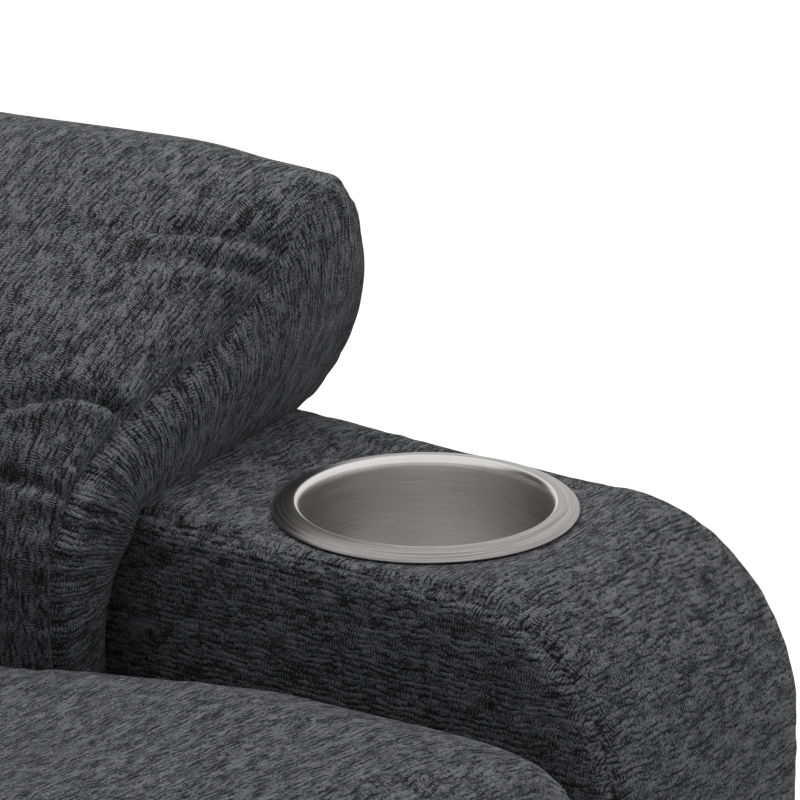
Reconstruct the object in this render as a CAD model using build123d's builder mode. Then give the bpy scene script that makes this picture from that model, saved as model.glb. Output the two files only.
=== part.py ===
from build123d import *
import os
from math import cos, pi, radians, sin, sqrt, tan

# Power recliner. Millimetres, +Z up, the sitter faces -Y and has +X on the left hand.
# The origin is on the floor under the middle of the chair.

os.makedirs("parts", exist_ok=True)

# Overall sizes
FRONT_Y = -455.0
ARM_REAR_Y = 335.0
SEAT_GAP = 560.0
ARM_WIDTH = 124.0
ARM_TOP = 530.0
ARM_BOTTOM = 45.0
ARM_NOSE_RADIUS = 70.0
SOFT_GAP = 0.4

# Arm boards and padding
SIDE_PADDING = 10.0
BAND_PADDING = 12.0
BOARD = 12.0
TOP_BOARD = 15.0
POST = 15.0

# Cup holder
CUP_SETBACK = 120.0
CUP_BORE = 90.0
CUP_WALL = 1.2
CUP_FLANGE = 110.0
CUP_FLANGE_RISE = 3.6
CUP_DEPTH = 60.0
CUP_HOLE_GAP = 0.8

# Arm pillow
PILLOW_SETBACK = 192.0
PILLOW_REAR_Y = 300.0
PILLOW_HEIGHT = 98.0
PILLOW_DRAPE = 44.0
PILLOW_DROP = 78.0
PILLOW_ROUNDING = 60.0
PILLOW_END_SHARE = 0.8
PILLOW_OVERHANG = 26.0
PILLOW_LIFT = 12.0
PILLOW_OUTER_INSET = 2.0
PILLOW_END_INSET = 20.0
PILLOW_CREST_INSET = 24.0
PILLOW_SLOPE_BULGE = 20.0
PILLOW_SHOULDER_DROP = 2.0
PILLOW_DRAPE_BULGE = 4.0

# Seat
SEAT_CREST = 494.0
SEAT_SIDE_CREST = 481.0
SEAT_REAR_Y = 125.0
SEAT_SIDE_GAP = 6.0
SEAT_FRONT_SETBACK = 3.0
SEAT_ROUNDING = 70.0
SEAT_REAR_ROUNDING = 60.0
SEAT_LENGTH_CROWN = 12.0
SEAT_FRONT_FALL = 34.0
SEAT_REAR_FALL = 22.0
SEAT_FRONT_INSET = 16.0
SEAT_REAR_INSET = 6.0
SEAT_FRONT_LIFT = 14.0
SEAT_UNDERCUT = 8.0
SEAT_SHOULDER_INSET = 3.0
SEAT_SHOULDER_WIDTH = 50.0
SEAT_SHOULDER_DEPTH = 46.0
SHOULDER_BOW = 0.62
SEAT_FRAME_TOP = 346.0
SEAT_FRAME_DEPTH = 40.0
SEAT_FRAME_SETBACK = 71.0
SEAT_FRAME_REAR_Y = 132.0
SEAT_RAIL = 36.0
ZIGZAG_WIRE = 3.6
ZIGZAG_SWING = 21.0
ZIGZAG_LOOPS = 11
SPRING_COUNT = 4
SEAT_SPRING_PITCH = 96.0
BACK_SPRING_PITCH = 84.0

# Mechanism plates: layer 0 is the seat plate, and layers count towards the middle of the chair
PLATE = 4.0
LAYER_PITCH = 9.0
PLATE_SETBACK = 16.0
LINK_WIDTH = 22.0
PIN_RADIUS = 5.0
PIN_CLEARANCE = 0.05
PIN_HEAD_RADIUS = 8.0
PIN_HEAD = 2.2
AXIAL_GAP = 0.3

# Footrest linkage, a double parallelogram
MAIN_PIVOT = (FRONT_Y + 189.0, 285.0)
MAIN_ANGLE = 236.6
MAIN_TO_SCISSOR = 150.0
SCISSOR_TO_OUTER = 75.0
PIVOT_SPREAD = 110.0
FOOTREST_PIVOT = (FRONT_Y + 83.0, 288.0)

# Footrest panel
PANEL_BACK_Y = FRONT_Y + 65.0
PANEL_TOP = 340.0
PANEL_HEIGHT = 265.0
PANEL_BOARD = 15.0
PANEL_BOARD_GAP = 18.0
FOOT_PAD_GAP = 8.0
FOOT_PAD_CROWN = 14.0
FOOT_PAD_SETBACK = 2.0
FOOT_ROUNDING = 36.0
FOOT_END_INSET = 14.0
FOOT_EDGE = 16.0

# Tubes of the mechanism
TUBE_RADIUS = 13.0
TUBE_BORE = 10.5
CROSS_TUBE_Z = 165.0
FRONT_TUBE_Y = -50.0
REAR_TUBE_Y = 215.0

# Actuators
RAIL_WIDTH = 24.0
RAIL_HEIGHT = 32.0
CARRIAGE_LENGTH = 56.0
CARRIAGE_WALL = 9.0
SLIDE_GAP = 0.3
DRIVE_PIN_RADIUS = 5.0
CRANK_PLATE = 6.0
CRANK_GAP = 3.0
LEG_RAIL_X = -70.0
LEG_LINE_DROP = 62.0
LEG_SWING = 95.0
LEG_SLOT_HALF = 11.8
BACK_RAIL_X = 70.0
BACK_LINE_DROP = 130.0
BACK_SWING = 42.0
BACK_SLOT_HALF = 6.6
MOTOR_RADIUS = 22.0
MOTOR_LENGTH = 92.0
HOUSING_WIDTH = 50.0
HOUSING_LENGTH = 70.0
HOUSING_HEIGHT = 56.0
BRACKET_PLATE = 6.0
BRACKET_LENGTH = 40.0

# Back
HINGE_Y = 205.0
HINGE_Z = 400.0
BACK_RAKE = 18.0
BACK_HEIGHT = 640.0
BACK_FRAME = 42.0
BACK_SIDE_GAP = 6.0
BACK_WING = 70.0
BACK_STILE = 42.0
BACK_RAIL_HEIGHT = 48.0
BACK_CUSHION = 104.0
CHANNEL_DEPTH = 40.0
CHANNEL_INSET = 6.0
BACK_TOP_ROUNDING = 80.0
BACK_TOP_INSET = 44.0
BACK_SHOULDER = 48.0
BACK_SHOULDER_BOW = 14.0
BACK_SIDE_SHARE = 0.35
BACK_BOW_SHARE = 0.68
BACK_SHOULDER_SHARE = 0.88
OUTSIDE_BACK = 16.5
BACK_WALL = 14.0
BACK_TUBE_DROP = 78.0
LOWER_RAIL_BOTTOM = -34.0
LOWER_RAIL_TOP = 32.0
MIDDLE_RAIL = 300.0
STILE_TOP = 596.0
CUSHION_BOTTOM = 22.0
CHANNELS = [CUSHION_BOTTOM, 262.0, 450.0, BACK_HEIGHT]
WING_START = 268.0
WING_END = 350.0

# Controls
SWITCH_Y = -300.0
SWITCH_Z = 430.0
SWITCH_LENGTH = 130.0
SWITCH_HEIGHT = 42.0
SWITCH_PLATE = 7.0
SWITCH_BEVEL = 1.5
TRAY_DEPTH = 16.0
TRAY_WALL = 2.0
BUTTON_PITCH = 27.0
BUTTON_RADIUS = 9.0
BUTTON_GAP = 0.3
BUTTON_PROUD = 3.0
BUTTON_FLANGE = 1.5
BUTTON_COLLAR = 2.0
BUTTON_STEM = 6.0
BUTTON_BEVEL = 1.0

# Apron and power inlet
APRON_SETBACK = 35.0
APRON_TOP = 358.0
APRON_BOTTOM = 60.0
APRON_BOARD = 18.0
INLET_X = -150.0
INLET_Z = 120.0
INLET_WIDTH = 30.0
INLET_HEIGHT = 20.0
INLET_LIP = 4.0
INLET_FACE = 1.5
INLET_BORE = 5.0
INLET_PIN = 1.25

# Fasteners and feet
BOLT_RADIUS = 4.0
BOLT_SPACER_RADIUS = 8.0
FOOT_RADIUS = 26.0
FOOT_SETBACK = 62.0
REAR_FOOT_SETBACK = 32.0

# Values worked out from the sizes above
ARM_IN = SEAT_GAP / 2
ARM_OUT = ARM_IN + ARM_WIDTH
ARM_MID = (ARM_IN + ARM_OUT) / 2
CAVITY_IN = ARM_IN + SIDE_PADDING
CAVITY_OUT = ARM_OUT - SIDE_PADDING
CUP_Y = FRONT_Y + CUP_SETBACK
CUP_OUTER = CUP_BORE / 2 + CUP_WALL
CUP_BOTTOM = ARM_TOP - CUP_DEPTH
TOP_BOARD_Z = ARM_TOP - BAND_PADDING
CUP_CLEAR = 4.0
BOARD_TOP = CUP_BOTTOM - CUP_WALL - CUP_CLEAR
SEAT_BOTTOM = SEAT_FRAME_TOP + ZIGZAG_WIRE + SOFT_GAP
SEAT_FRAME_FRONT_Y = FRONT_Y + SEAT_FRAME_SETBACK
SEAT_PLATE_X = ARM_IN - PLATE_SETBACK
PANEL_BOARD_HALF = ARM_IN - PANEL_BOARD_GAP
FOOT_PAD_HALF = ARM_IN - FOOT_PAD_GAP
BACK_LOWER_HALF = ARM_IN - PILLOW_DRAPE - BACK_SIDE_GAP
BACK_UPPER_HALF = BACK_LOWER_HALF + BACK_WING
BACK_STILE_OUTER = BACK_LOWER_HALF - BACK_WALL - 2
APRON_Y = ARM_REAR_Y - APRON_SETBACK
PLATE_OUTER = SEAT_PLATE_X + PLATE / 2
PLATE_INNER = SEAT_PLATE_X - PLATE / 2
PILLOW_FRONT_Y = FRONT_Y + PILLOW_SETBACK
TRAY_LENGTH = SWITCH_LENGTH - 16
TRAY_HEIGHT = SWITCH_HEIGHT - 10

# Steps of a rounded end and of a swell, as shares of its length
END_STEPS = [0, 0.06, 0.2, 0.45, 1]
LOBE_STEPS = [0.03, 0.09, 0.2, 0.36, 0.5, 0.64, 0.8, 0.91, 0.97]


def layer_x(layer):
    """Middle of a plate layer on the left side of the chair."""
    return SEAT_PLATE_X - LAYER_PITCH * layer


def along(start, angle, length):
    """Point in the side view, where the angle turns from the front (-Y) upwards."""
    y = start[0] - length * cos(radians(angle))
    z = start[1] + length * sin(radians(angle))
    return (y, z)


SCISSOR_PIVOT = along(MAIN_PIVOT, MAIN_ANGLE, MAIN_TO_SCISSOR)
OUTER_PIVOT = along(SCISSOR_PIVOT, MAIN_ANGLE, SCISSOR_TO_OUTER)
FOOTREST_LOWER_PIVOT = along(FOOTREST_PIVOT, MAIN_ANGLE, SCISSOR_TO_OUTER)
SCISSOR_RUN = Vector(FOOTREST_PIVOT) - Vector(SCISSOR_PIVOT)
SPREAD = SCISSOR_RUN.normalized() * PIVOT_SPREAD
REAR_PIVOT = (MAIN_PIVOT[0] - SPREAD.X, MAIN_PIVOT[1] - SPREAD.Y)
REAR_LINK_END = (SCISSOR_PIVOT[0] - SPREAD.X, SCISSOR_PIVOT[1] - SPREAD.Y)

# Back plane: local x is across the chair, local y runs up the back, and z points to the rear
BACK_UP = Vector(0, sin(radians(BACK_RAKE)), cos(radians(BACK_RAKE)))
BACK_OUT = Vector(0, cos(radians(BACK_RAKE)), -sin(radians(BACK_RAKE)))
BACK_PLANE = Plane(origin=(0, HINGE_Y, HINGE_Z), x_dir=(-1, 0, 0), z_dir=BACK_OUT)


def keep(part, name):
    """Write one node."""
    part.label = name
    export_step(part, f"parts/{name}.step")


def keep_group(parts, name):
    """Write several separate solids as one node."""
    keep(Compound(children=parts), name)


def keep_pair(part, name):
    """Write the left piece and its mirror image on the right."""
    keep(part, f"left_{name}")
    with BuildPart() as twin:
        mirror(part, about=Plane.YZ)
    keep(twin.part, f"right_{name}")


def side_plane(x):
    """Sketch plane of the side view: local x is Y and local y is Z."""
    return Plane.YZ.offset(x)


def discs(points, radius, x):
    """Round faces in the side view."""
    with BuildSketch(side_plane(x)) as sketch:
        with Locations(*points):
            Circle(radius)
    return sketch.sketch


def bar(start, end, width, x):
    """Flat bar with round ends between two points of the side view."""
    middle = ((start[0] + end[0]) / 2, (start[1] + end[1]) / 2)
    with BuildSketch(side_plane(x)) as sketch:
        SlotCenterPoint(middle, end, width)
    return sketch.sketch


def pivot_pin(point, layer):
    """Shoulder, pin and head from a plate outwards through the plate of the layer outside it."""
    face = layer_x(layer) + PLATE / 2
    next_face = layer_x(layer - 1) - PLATE / 2
    head_face = next_face + PLATE + AXIAL_GAP
    extrude(discs([point], PIN_HEAD_RADIUS, face), amount=next_face - AXIAL_GAP - face)
    extrude(discs([point], PIN_RADIUS, face), amount=head_face + PIN_HEAD - face)
    extrude(discs([point], PIN_HEAD_RADIUS, head_face), amount=PIN_HEAD)


def pivot_hole(point, layer):
    """Running hole for a pin in the plate of one layer."""
    hole = discs([point], PIN_RADIUS + PIN_CLEARANCE, layer_x(layer) - PLATE / 2)
    extrude(hole, amount=PLATE, mode=Mode.SUBTRACT)


def link_bar(start, end, layer):
    """Flat link plate between two pivots in one layer."""
    extrude(bar(start, end, LINK_WIDTH, layer_x(layer) - PLATE / 2), amount=PLATE)


def hollow_tube(point, half):
    """Round tube across the chair."""
    extrude(discs([point], TUBE_RADIUS, -half), amount=2 * half)
    extrude(discs([point], TUBE_BORE, -half), amount=2 * half, mode=Mode.SUBTRACT)


def arm_outline(inset, x):
    """Side outline of the arm with its rounded nose."""
    front = FRONT_Y + inset
    rear = ARM_REAR_Y - inset
    top = ARM_TOP - inset
    radius = ARM_NOSE_RADIUS - inset
    with BuildSketch(side_plane(x)) as outline:
        with BuildLine():
            Line((rear, ARM_BOTTOM), (rear, top))
            Line((rear, top), (front + radius, top))
            RadiusArc((front + radius, top), (front, top - radius), radius=-radius)
            Line((front, top - radius), (front, ARM_BOTTOM))
            Line((front, ARM_BOTTOM), (rear, ARM_BOTTOM))
        make_face()
    return outline.sketch


def switch_outline(length, height, x):
    """Long round outline of the switch plate, its tray or their holes."""
    with BuildSketch(side_plane(x)) as outline:
        with Locations((SWITCH_Y, SWITCH_Z)):
            SlotOverall(length, height)
    return outline.sketch


def rounded_end(distance, reach):
    """Rise of a quarter circle, 0 at an end and 1 from the reach inwards."""
    rest = max(0.0, 1 - distance / reach)
    return sqrt(1 - rest * rest)


# Bolts from the seat plate through the arm's inner padding into its board
FRONT_BOLT = (MAIN_PIVOT[0] + 30, SEAT_FRAME_TOP - 20)
BOLT_POINTS = [FRONT_BOLT, (110.0, SEAT_FRAME_TOP - 20), (222.0, 262.0), (-62.0, 205.0)]

# Arm inner panel
with BuildPart() as arm_inner_panel:
    extrude(arm_outline(0, ARM_IN), amount=SIDE_PADDING)
    fillet(arm_inner_panel.faces().sort_by(Axis.X)[0].edges().sort_by(Axis.Z)[1:], radius=4)
    extrude(discs(BOLT_POINTS, BOLT_RADIUS, ARM_IN), amount=SIDE_PADDING, mode=Mode.SUBTRACT)
keep_pair(arm_inner_panel.part, "arm_inner_panel")

# Arm outer panels, with a window for the switch tray on the right arm
with BuildPart() as arm_outer_panel:
    extrude(arm_outline(0, CAVITY_OUT), amount=SIDE_PADDING)
    fillet(arm_outer_panel.faces().sort_by(Axis.X)[-1].edges().sort_by(Axis.Z)[1:], radius=4)
keep(arm_outer_panel.part, "left_arm_outer_panel")

with BuildPart() as right_outer_panel:
    mirror(arm_outer_panel.part, about=Plane.YZ)
    switch_hole = switch_outline(SWITCH_LENGTH + 2 * SOFT_GAP, SWITCH_HEIGHT + 2 * SOFT_GAP, -ARM_OUT)
    extrude(switch_hole, amount=SIDE_PADDING, mode=Mode.SUBTRACT)
keep(right_outer_panel.part, "right_arm_outer_panel")

# Arm band over the rear, the top and the front, with the cup hole
with BuildPart() as arm_band:
    extrude(arm_outline(0, CAVITY_IN), amount=CAVITY_OUT - CAVITY_IN)
    extrude(arm_outline(BAND_PADDING, CAVITY_IN), amount=CAVITY_OUT - CAVITY_IN, mode=Mode.SUBTRACT)
    with BuildSketch(Plane.XY.offset(TOP_BOARD_Z)):
        with Locations((ARM_MID, CUP_Y)):
            Circle(CUP_OUTER + CUP_HOLE_GAP)
    extrude(amount=BAND_PADDING, mode=Mode.SUBTRACT)
keep_pair(arm_band.part, "arm_band")

# Arm boards: inner and outer side boards, nose board, front post and rear post
POST_FRONT_Y = CUP_Y - CUP_OUTER - CUP_CLEAR - POST
NOSE_Y = FRONT_Y + BAND_PADDING
REAR_POST_Y = ARM_REAR_Y - BAND_PADDING - POST
BOARD_IN = CAVITY_IN + BOARD
BOARD_OUT = CAVITY_OUT - BOARD


def side_board(x):
    """Side board of the arm, cut back under the nose."""
    with BuildPart() as board:
        with BuildSketch(side_plane(x)):
            with BuildLine():
                Polyline(
                    (NOSE_Y, ARM_BOTTOM),
                    (NOSE_Y, ARM_TOP - ARM_NOSE_RADIUS),
                    (NOSE_Y + 6, BOARD_TOP),
                    (REAR_POST_Y + POST, BOARD_TOP),
                    (REAR_POST_Y + POST, ARM_BOTTOM),
                    close=True,
                )
            make_face()
        extrude(amount=BOARD)
    return board.part


def post_board(y, top):
    """Board across the arm between the side boards."""
    with BuildPart() as board:
        with BuildSketch(Plane.XY.offset(ARM_BOTTOM)):
            with Locations((ARM_MID, y + POST / 2)):
                Rectangle(BOARD_OUT - BOARD_IN, POST)
        extrude(amount=top - ARM_BOTTOM)
    return board.part


with BuildPart() as inner_board:
    add(side_board(CAVITY_IN))
    extrude(discs(BOLT_POINTS, BOLT_RADIUS, CAVITY_IN), amount=BOARD, mode=Mode.SUBTRACT)
POST_TOP = TOP_BOARD_Z - TOP_BOARD
arm_posts = [
    post_board(NOSE_Y, ARM_TOP - ARM_NOSE_RADIUS),
    post_board(POST_FRONT_Y, POST_TOP),
    post_board(REAR_POST_Y, POST_TOP),
]
outer_board = side_board(BOARD_OUT)
keep_group([inner_board.part, outer_board] + arm_posts, "left_arm_boards")

with BuildPart() as switch_board:
    mirror(outer_board, about=Plane.YZ)
    tray_hole = switch_outline(TRAY_LENGTH + 2 * SOFT_GAP, TRAY_HEIGHT + 2 * SOFT_GAP, -CAVITY_OUT)
    extrude(tray_hole, amount=BOARD, mode=Mode.SUBTRACT)
mirrored_boards = [mirror(board, about=Plane.YZ) for board in [inner_board.part] + arm_posts]
keep_group([switch_board.part] + mirrored_boards, "right_arm_boards")

# Arm top board that the cup hangs in
with BuildPart() as arm_top_board:
    with BuildSketch(Plane.XY.offset(TOP_BOARD_Z - TOP_BOARD)):
        top_front = FRONT_Y + ARM_NOSE_RADIUS
        top_rear = REAR_POST_Y + POST
        with Locations((ARM_MID, (top_front + top_rear) / 2)):
            Rectangle(CAVITY_OUT - CAVITY_IN, top_rear - top_front)
        with Locations((ARM_MID, CUP_Y)):
            Circle(CUP_OUTER + CUP_HOLE_GAP, mode=Mode.SUBTRACT)
    extrude(amount=TOP_BOARD)
keep_pair(arm_top_board.part, "arm_top_board")

# Cup holder with a rolled flange
with BuildPart() as cup_holder:
    with BuildSketch(Plane.XZ.offset(-CUP_Y)):
        with BuildLine():
            bore = CUP_BORE / 2
            rim = CUP_FLANGE / 2
            crest = ARM_TOP + CUP_FLANGE_RISE
            floor = CUP_BOTTOM - CUP_WALL
            Polyline(
                (ARM_MID + bore, ARM_TOP + 2),
                (ARM_MID + bore, CUP_BOTTOM),
                (ARM_MID, CUP_BOTTOM),
                (ARM_MID, floor),
                (ARM_MID + CUP_OUTER, floor),
                (ARM_MID + CUP_OUTER, ARM_TOP),
                (ARM_MID + rim, ARM_TOP),
                (ARM_MID + rim, ARM_TOP + 0.8),
            )
            ThreePointArc(
                (ARM_MID + rim, ARM_TOP + 0.8),
                (ARM_MID + (rim + bore) / 2 - 1, crest),
                (ARM_MID + bore, ARM_TOP + 2),
            )
        make_face()
    revolve(axis=Axis((ARM_MID, CUP_Y, 0), (0, 0, 1)))
keep_pair(cup_holder.part, "cup_holder")


# Arm pillow: a saddle that is high on the outside, slopes inwards and hangs down inside the arm
def pillow_section(y, swell, lift):
    """Saddle outline, swell 1 at the full pillow, and lifted off the arm where its ends hang over."""
    base = ARM_TOP + SOFT_GAP + lift
    inside = ARM_IN - SOFT_GAP - lift / 2
    drop = ARM_TOP - PILLOW_DROP + lift
    crest = ARM_TOP + SOFT_GAP + PILLOW_HEIGHT * swell
    drape = ARM_IN - SOFT_GAP - PILLOW_DRAPE * swell
    outer = ARM_OUT - PILLOW_OUTER_INSET - PILLOW_END_INSET * (1 - swell)
    hem = (drape, drop + inside - drape)
    shoulder = Vector(drape - PILLOW_DRAPE_BULGE * swell, ARM_TOP - PILLOW_SHOULDER_DROP)
    top = Vector(outer - PILLOW_CREST_INSET, crest)
    slope = (top - shoulder).normalized()
    bulge = (shoulder + top) / 2 + Vector(-slope.Y, slope.X) * PILLOW_SLOPE_BULGE * swell
    with BuildSketch(Plane.XZ.offset(-y)) as section:
        with BuildLine():
            Line((inside, base), (inside, drop))
            Line((inside, drop), hem)
            Line(hem, shoulder)
            ThreePointArc(shoulder, bulge, top)
            ThreePointArc(top, (outer + PILLOW_OUTER_INSET / 2, (2 * crest + base) / 3), (outer, base))
            Line((outer, base), (inside, base))
        make_face()
    return section.sketch


pillow_ys = [PILLOW_FRONT_Y + PILLOW_ROUNDING * step for step in END_STEPS]
pillow_ys += [PILLOW_REAR_Y - PILLOW_ROUNDING * step for step in reversed(END_STEPS)]
with BuildPart() as arm_pillow:
    pillow_sections = []
    for pillow_y in pillow_ys:
        end_gap = min(pillow_y - PILLOW_FRONT_Y, PILLOW_REAR_Y - pillow_y)
        swell = PILLOW_END_SHARE + (1 - PILLOW_END_SHARE) * rounded_end(end_gap, PILLOW_ROUNDING)
        lift = PILLOW_LIFT * (1 - rounded_end(end_gap, PILLOW_OVERHANG))
        pillow_sections.append(pillow_section(pillow_y, swell, lift))
    loft(pillow_sections, ruled=True)
keep_pair(arm_pillow.part, "arm_pillow")

# Feet under the four corners of the arms
with BuildPart() as feet:
    with BuildSketch(Plane.XY):
        for x in (-ARM_MID, ARM_MID):
            for y in (FRONT_Y + FOOT_SETBACK, ARM_REAR_Y - REAR_FOOT_SETBACK):
                with Locations((x, y)):
                    Circle(FOOT_RADIUS)
    extrude(amount=ARM_BOTTOM, taper=4)
keep(feet.part, "feet")

# Rear apron between the arms, with a hole for the power inlet
with BuildPart() as rear_apron:
    with Locations((0, APRON_Y, (APRON_TOP + APRON_BOTTOM) / 2)):
        Box(SEAT_GAP, APRON_BOARD, APRON_TOP - APRON_BOTTOM)
    with Locations((INLET_X, APRON_Y, INLET_Z)):
        Box(INLET_WIDTH, APRON_BOARD, INLET_HEIGHT, mode=Mode.SUBTRACT)
keep(rear_apron.part, "rear_apron")

# Power inlet: a body through the apron with a lip behind it, and a pin in its socket
APRON_REAR_Y = APRON_Y + APRON_BOARD / 2
INLET_FACE_Y = APRON_REAR_Y + SOFT_GAP + INLET_FACE
INLET_FRONT_Y = APRON_Y - APRON_BOARD / 2 - 2
INLET_SOCKET = 20.0
with BuildPart() as power_inlet:
    with BuildSketch(Plane.XZ.offset(-INLET_FACE_Y)):
        with Locations((INLET_X, INLET_Z)):
            Rectangle(INLET_WIDTH, INLET_HEIGHT)
    extrude(amount=INLET_FACE_Y - INLET_FRONT_Y)
    with BuildSketch(Plane.XZ.offset(-INLET_FACE_Y)):
        with Locations((INLET_X, INLET_Z)):
            RectangleRounded(INLET_WIDTH + 2 * INLET_LIP, INLET_HEIGHT + 2 * INLET_LIP, 3)
    extrude(amount=INLET_FACE)
    with BuildSketch(Plane.XZ.offset(-INLET_FACE_Y)):
        with Locations((INLET_X, INLET_Z)):
            Circle(INLET_BORE)
            Circle(INLET_PIN, mode=Mode.SUBTRACT)
    extrude(amount=INLET_SOCKET, mode=Mode.SUBTRACT)
keep(power_inlet.part, "power_inlet")

# Seat plates, which carry every pivot
HINGE = (HINGE_Y, HINGE_Z)
with BuildPart() as seat_plate:
    with BuildSketch(side_plane(PLATE_INNER)):
        with BuildLine():
            FilletPolyline(
                (MAIN_PIVOT[0] - 34, MAIN_PIVOT[1] - 27),
                (MAIN_PIVOT[0] - 34, SEAT_FRAME_TOP - 2),
                (145, SEAT_FRAME_TOP - 2),
                (172, HINGE_Z + 22),
                (236, HINGE_Z + 22),
                (246, CROSS_TUBE_Z - 25),
                (-78, CROSS_TUBE_Z - 25),
                (REAR_PIVOT[0] - 21, REAR_PIVOT[1] - 37),
                radius=14,
                close=True,
            )
        make_face()
        with Locations((-10, 268), (90, 262)):
            SlotOverall(76, 44, mode=Mode.SUBTRACT)
    extrude(amount=PLATE)
    extrude(discs(BOLT_POINTS, BOLT_RADIUS, PLATE_INNER), amount=PLATE, mode=Mode.SUBTRACT)
    for point in (MAIN_PIVOT, REAR_PIVOT, HINGE):
        pivot_hole(point, 0)
keep_pair(seat_plate.part, "seat_plate")

# Bolts and spacers between the plates and the arms
with BuildPart() as mechanism_bolts:
    extrude(discs(BOLT_POINTS, BOLT_RADIUS, PLATE_INNER), amount=BOARD_IN - PLATE_INNER)
    extrude(discs(BOLT_POINTS, BOLT_SPACER_RADIUS, PLATE_OUTER), amount=ARM_IN - PLATE_OUTER)
    mirror(about=Plane.YZ)
keep(mechanism_bolts.part, "mechanism_bolts")

# Cross tubes between the plates
for tube_name, tube_y in (("front_cross_tube", FRONT_TUBE_Y), ("rear_cross_tube", REAR_TUBE_Y)):
    with BuildPart() as cross_tube:
        hollow_tube((tube_y, CROSS_TUBE_Z), PLATE_INNER)
    keep(cross_tube.part, tube_name)

# Seat frame of four rails
FRAME_BOTTOM = SEAT_FRAME_TOP - SEAT_FRAME_DEPTH
FRAME_MID_Y = (SEAT_FRAME_FRONT_Y + SEAT_FRAME_REAR_Y) / 2
FRAME_LENGTH = SEAT_FRAME_REAR_Y - SEAT_FRAME_FRONT_Y
RAIL_X = PLATE_INNER - SEAT_RAIL / 2
CROSS_RAIL_HALF = PLATE_INNER - SEAT_RAIL
seat_rails = []
for rail_x in (-RAIL_X, RAIL_X):
    with BuildPart() as side_rail:
        with Locations((rail_x, FRAME_MID_Y, FRAME_BOTTOM + SEAT_FRAME_DEPTH / 2)):
            Box(SEAT_RAIL, FRAME_LENGTH, SEAT_FRAME_DEPTH)
    seat_rails.append(side_rail.part)
for rail_y in (SEAT_FRAME_FRONT_Y + SEAT_RAIL / 2, SEAT_FRAME_REAR_Y - SEAT_RAIL / 2):
    with BuildPart() as end_rail:
        with Locations((0, rail_y, FRAME_BOTTOM + SEAT_FRAME_DEPTH / 2)):
            Box(2 * CROSS_RAIL_HALF, SEAT_RAIL, SEAT_FRAME_DEPTH)
    seat_rails.append(end_rail.part)
keep_group(seat_rails, "seat_frame")


# Zigzag springs: a chain of half loops, drawn as a ribbon of wire width
def zigzag(start, length):
    """Wavy wire in the caller's sketch, from a start along local y."""
    step = length / ZIGZAG_LOOPS
    x, y = start
    with BuildLine() as path:
        for i in range(ZIGZAG_LOOPS):
            side = ZIGZAG_SWING if i % 2 else -ZIGZAG_SWING
            ThreePointArc((x, y + i * step), (x + side, y + (i + 0.5) * step), (x, y + (i + 1) * step))
    trace(path.line, ZIGZAG_WIRE)


with BuildPart() as seat_springs:
    with BuildSketch(Plane.XY.offset(SEAT_FRAME_TOP)):
        for i in range(SPRING_COUNT):
            spring_x = (i - (SPRING_COUNT - 1) / 2) * SEAT_SPRING_PITCH
            zigzag((spring_x, SEAT_FRAME_FRONT_Y + 6), FRAME_LENGTH - 12)
    extrude(amount=ZIGZAG_WIRE)
keep(seat_springs.part, "seat_springs")


# Seat cushion: crowned, with soft shoulders and a rounded front
def seat_section(y, half, top, bottom):
    """Crowned outline across the seat with soft shoulders."""
    crown = (SEAT_CREST - SEAT_SIDE_CREST) * (top - bottom) / (SEAT_CREST - SEAT_BOTTOM)
    side_top = top - crown
    edge = half - SEAT_SHOULDER_INSET
    edge_z = side_top - SEAT_SHOULDER_DEPTH
    inner = half - SEAT_SHOULDER_WIDTH
    bow = half - SEAT_SHOULDER_WIDTH * (1 - SHOULDER_BOW)
    bow_z = side_top - SEAT_SHOULDER_DEPTH * (1 - SHOULDER_BOW)
    foot = half - SEAT_UNDERCUT
    middle_z = (bottom + edge_z) / 2
    with BuildSketch(Plane.XZ.offset(-y)) as section:
        with BuildLine():
            Line((-foot, bottom), (foot, bottom))
            ThreePointArc((foot, bottom), (half, middle_z), (edge, edge_z))
            ThreePointArc((edge, edge_z), (bow, bow_z), (inner, side_top))
            ThreePointArc((inner, side_top), (0, top), (-inner, side_top))
            ThreePointArc((-inner, side_top), (-bow, bow_z), (-edge, edge_z))
            ThreePointArc((-edge, edge_z), (-half, middle_z), (-foot, bottom))
        make_face()
    return section.sketch


SEAT_HALF = ARM_IN - SEAT_SIDE_GAP
SEAT_FRONT_Y = FRONT_Y + SEAT_FRONT_SETBACK
seat_ys = [SEAT_FRONT_Y + SEAT_ROUNDING * step for step in END_STEPS]
seat_ys += [SEAT_FRONT_Y + (SEAT_REAR_Y - SEAT_FRONT_Y) * share for share in (0.3, 0.5, 0.7)]
seat_ys += [SEAT_REAR_Y - SEAT_REAR_ROUNDING * step for step in reversed(END_STEPS)]
with BuildPart() as seat_cushion:
    seat_sections = []
    for seat_y in seat_ys:
        front_fall = 1 - rounded_end(seat_y - SEAT_FRONT_Y, SEAT_ROUNDING)
        rear_fall = 1 - rounded_end(SEAT_REAR_Y - seat_y, SEAT_REAR_ROUNDING)
        run = (seat_y - SEAT_FRONT_Y) / (SEAT_REAR_Y - SEAT_FRONT_Y)
        crest = SEAT_CREST - SEAT_LENGTH_CROWN * (1 - sin(pi * run))
        crest = crest - SEAT_FRONT_FALL * front_fall - SEAT_REAR_FALL * rear_fall
        half = SEAT_HALF - SEAT_FRONT_INSET * front_fall - SEAT_REAR_INSET * rear_fall
        bottom = SEAT_BOTTOM + SEAT_FRONT_LIFT * front_fall
        seat_sections.append(seat_section(seat_y, half, crest, bottom))
    loft(seat_sections, ruled=True)
keep(seat_cushion.part, "seat_cushion")

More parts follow.
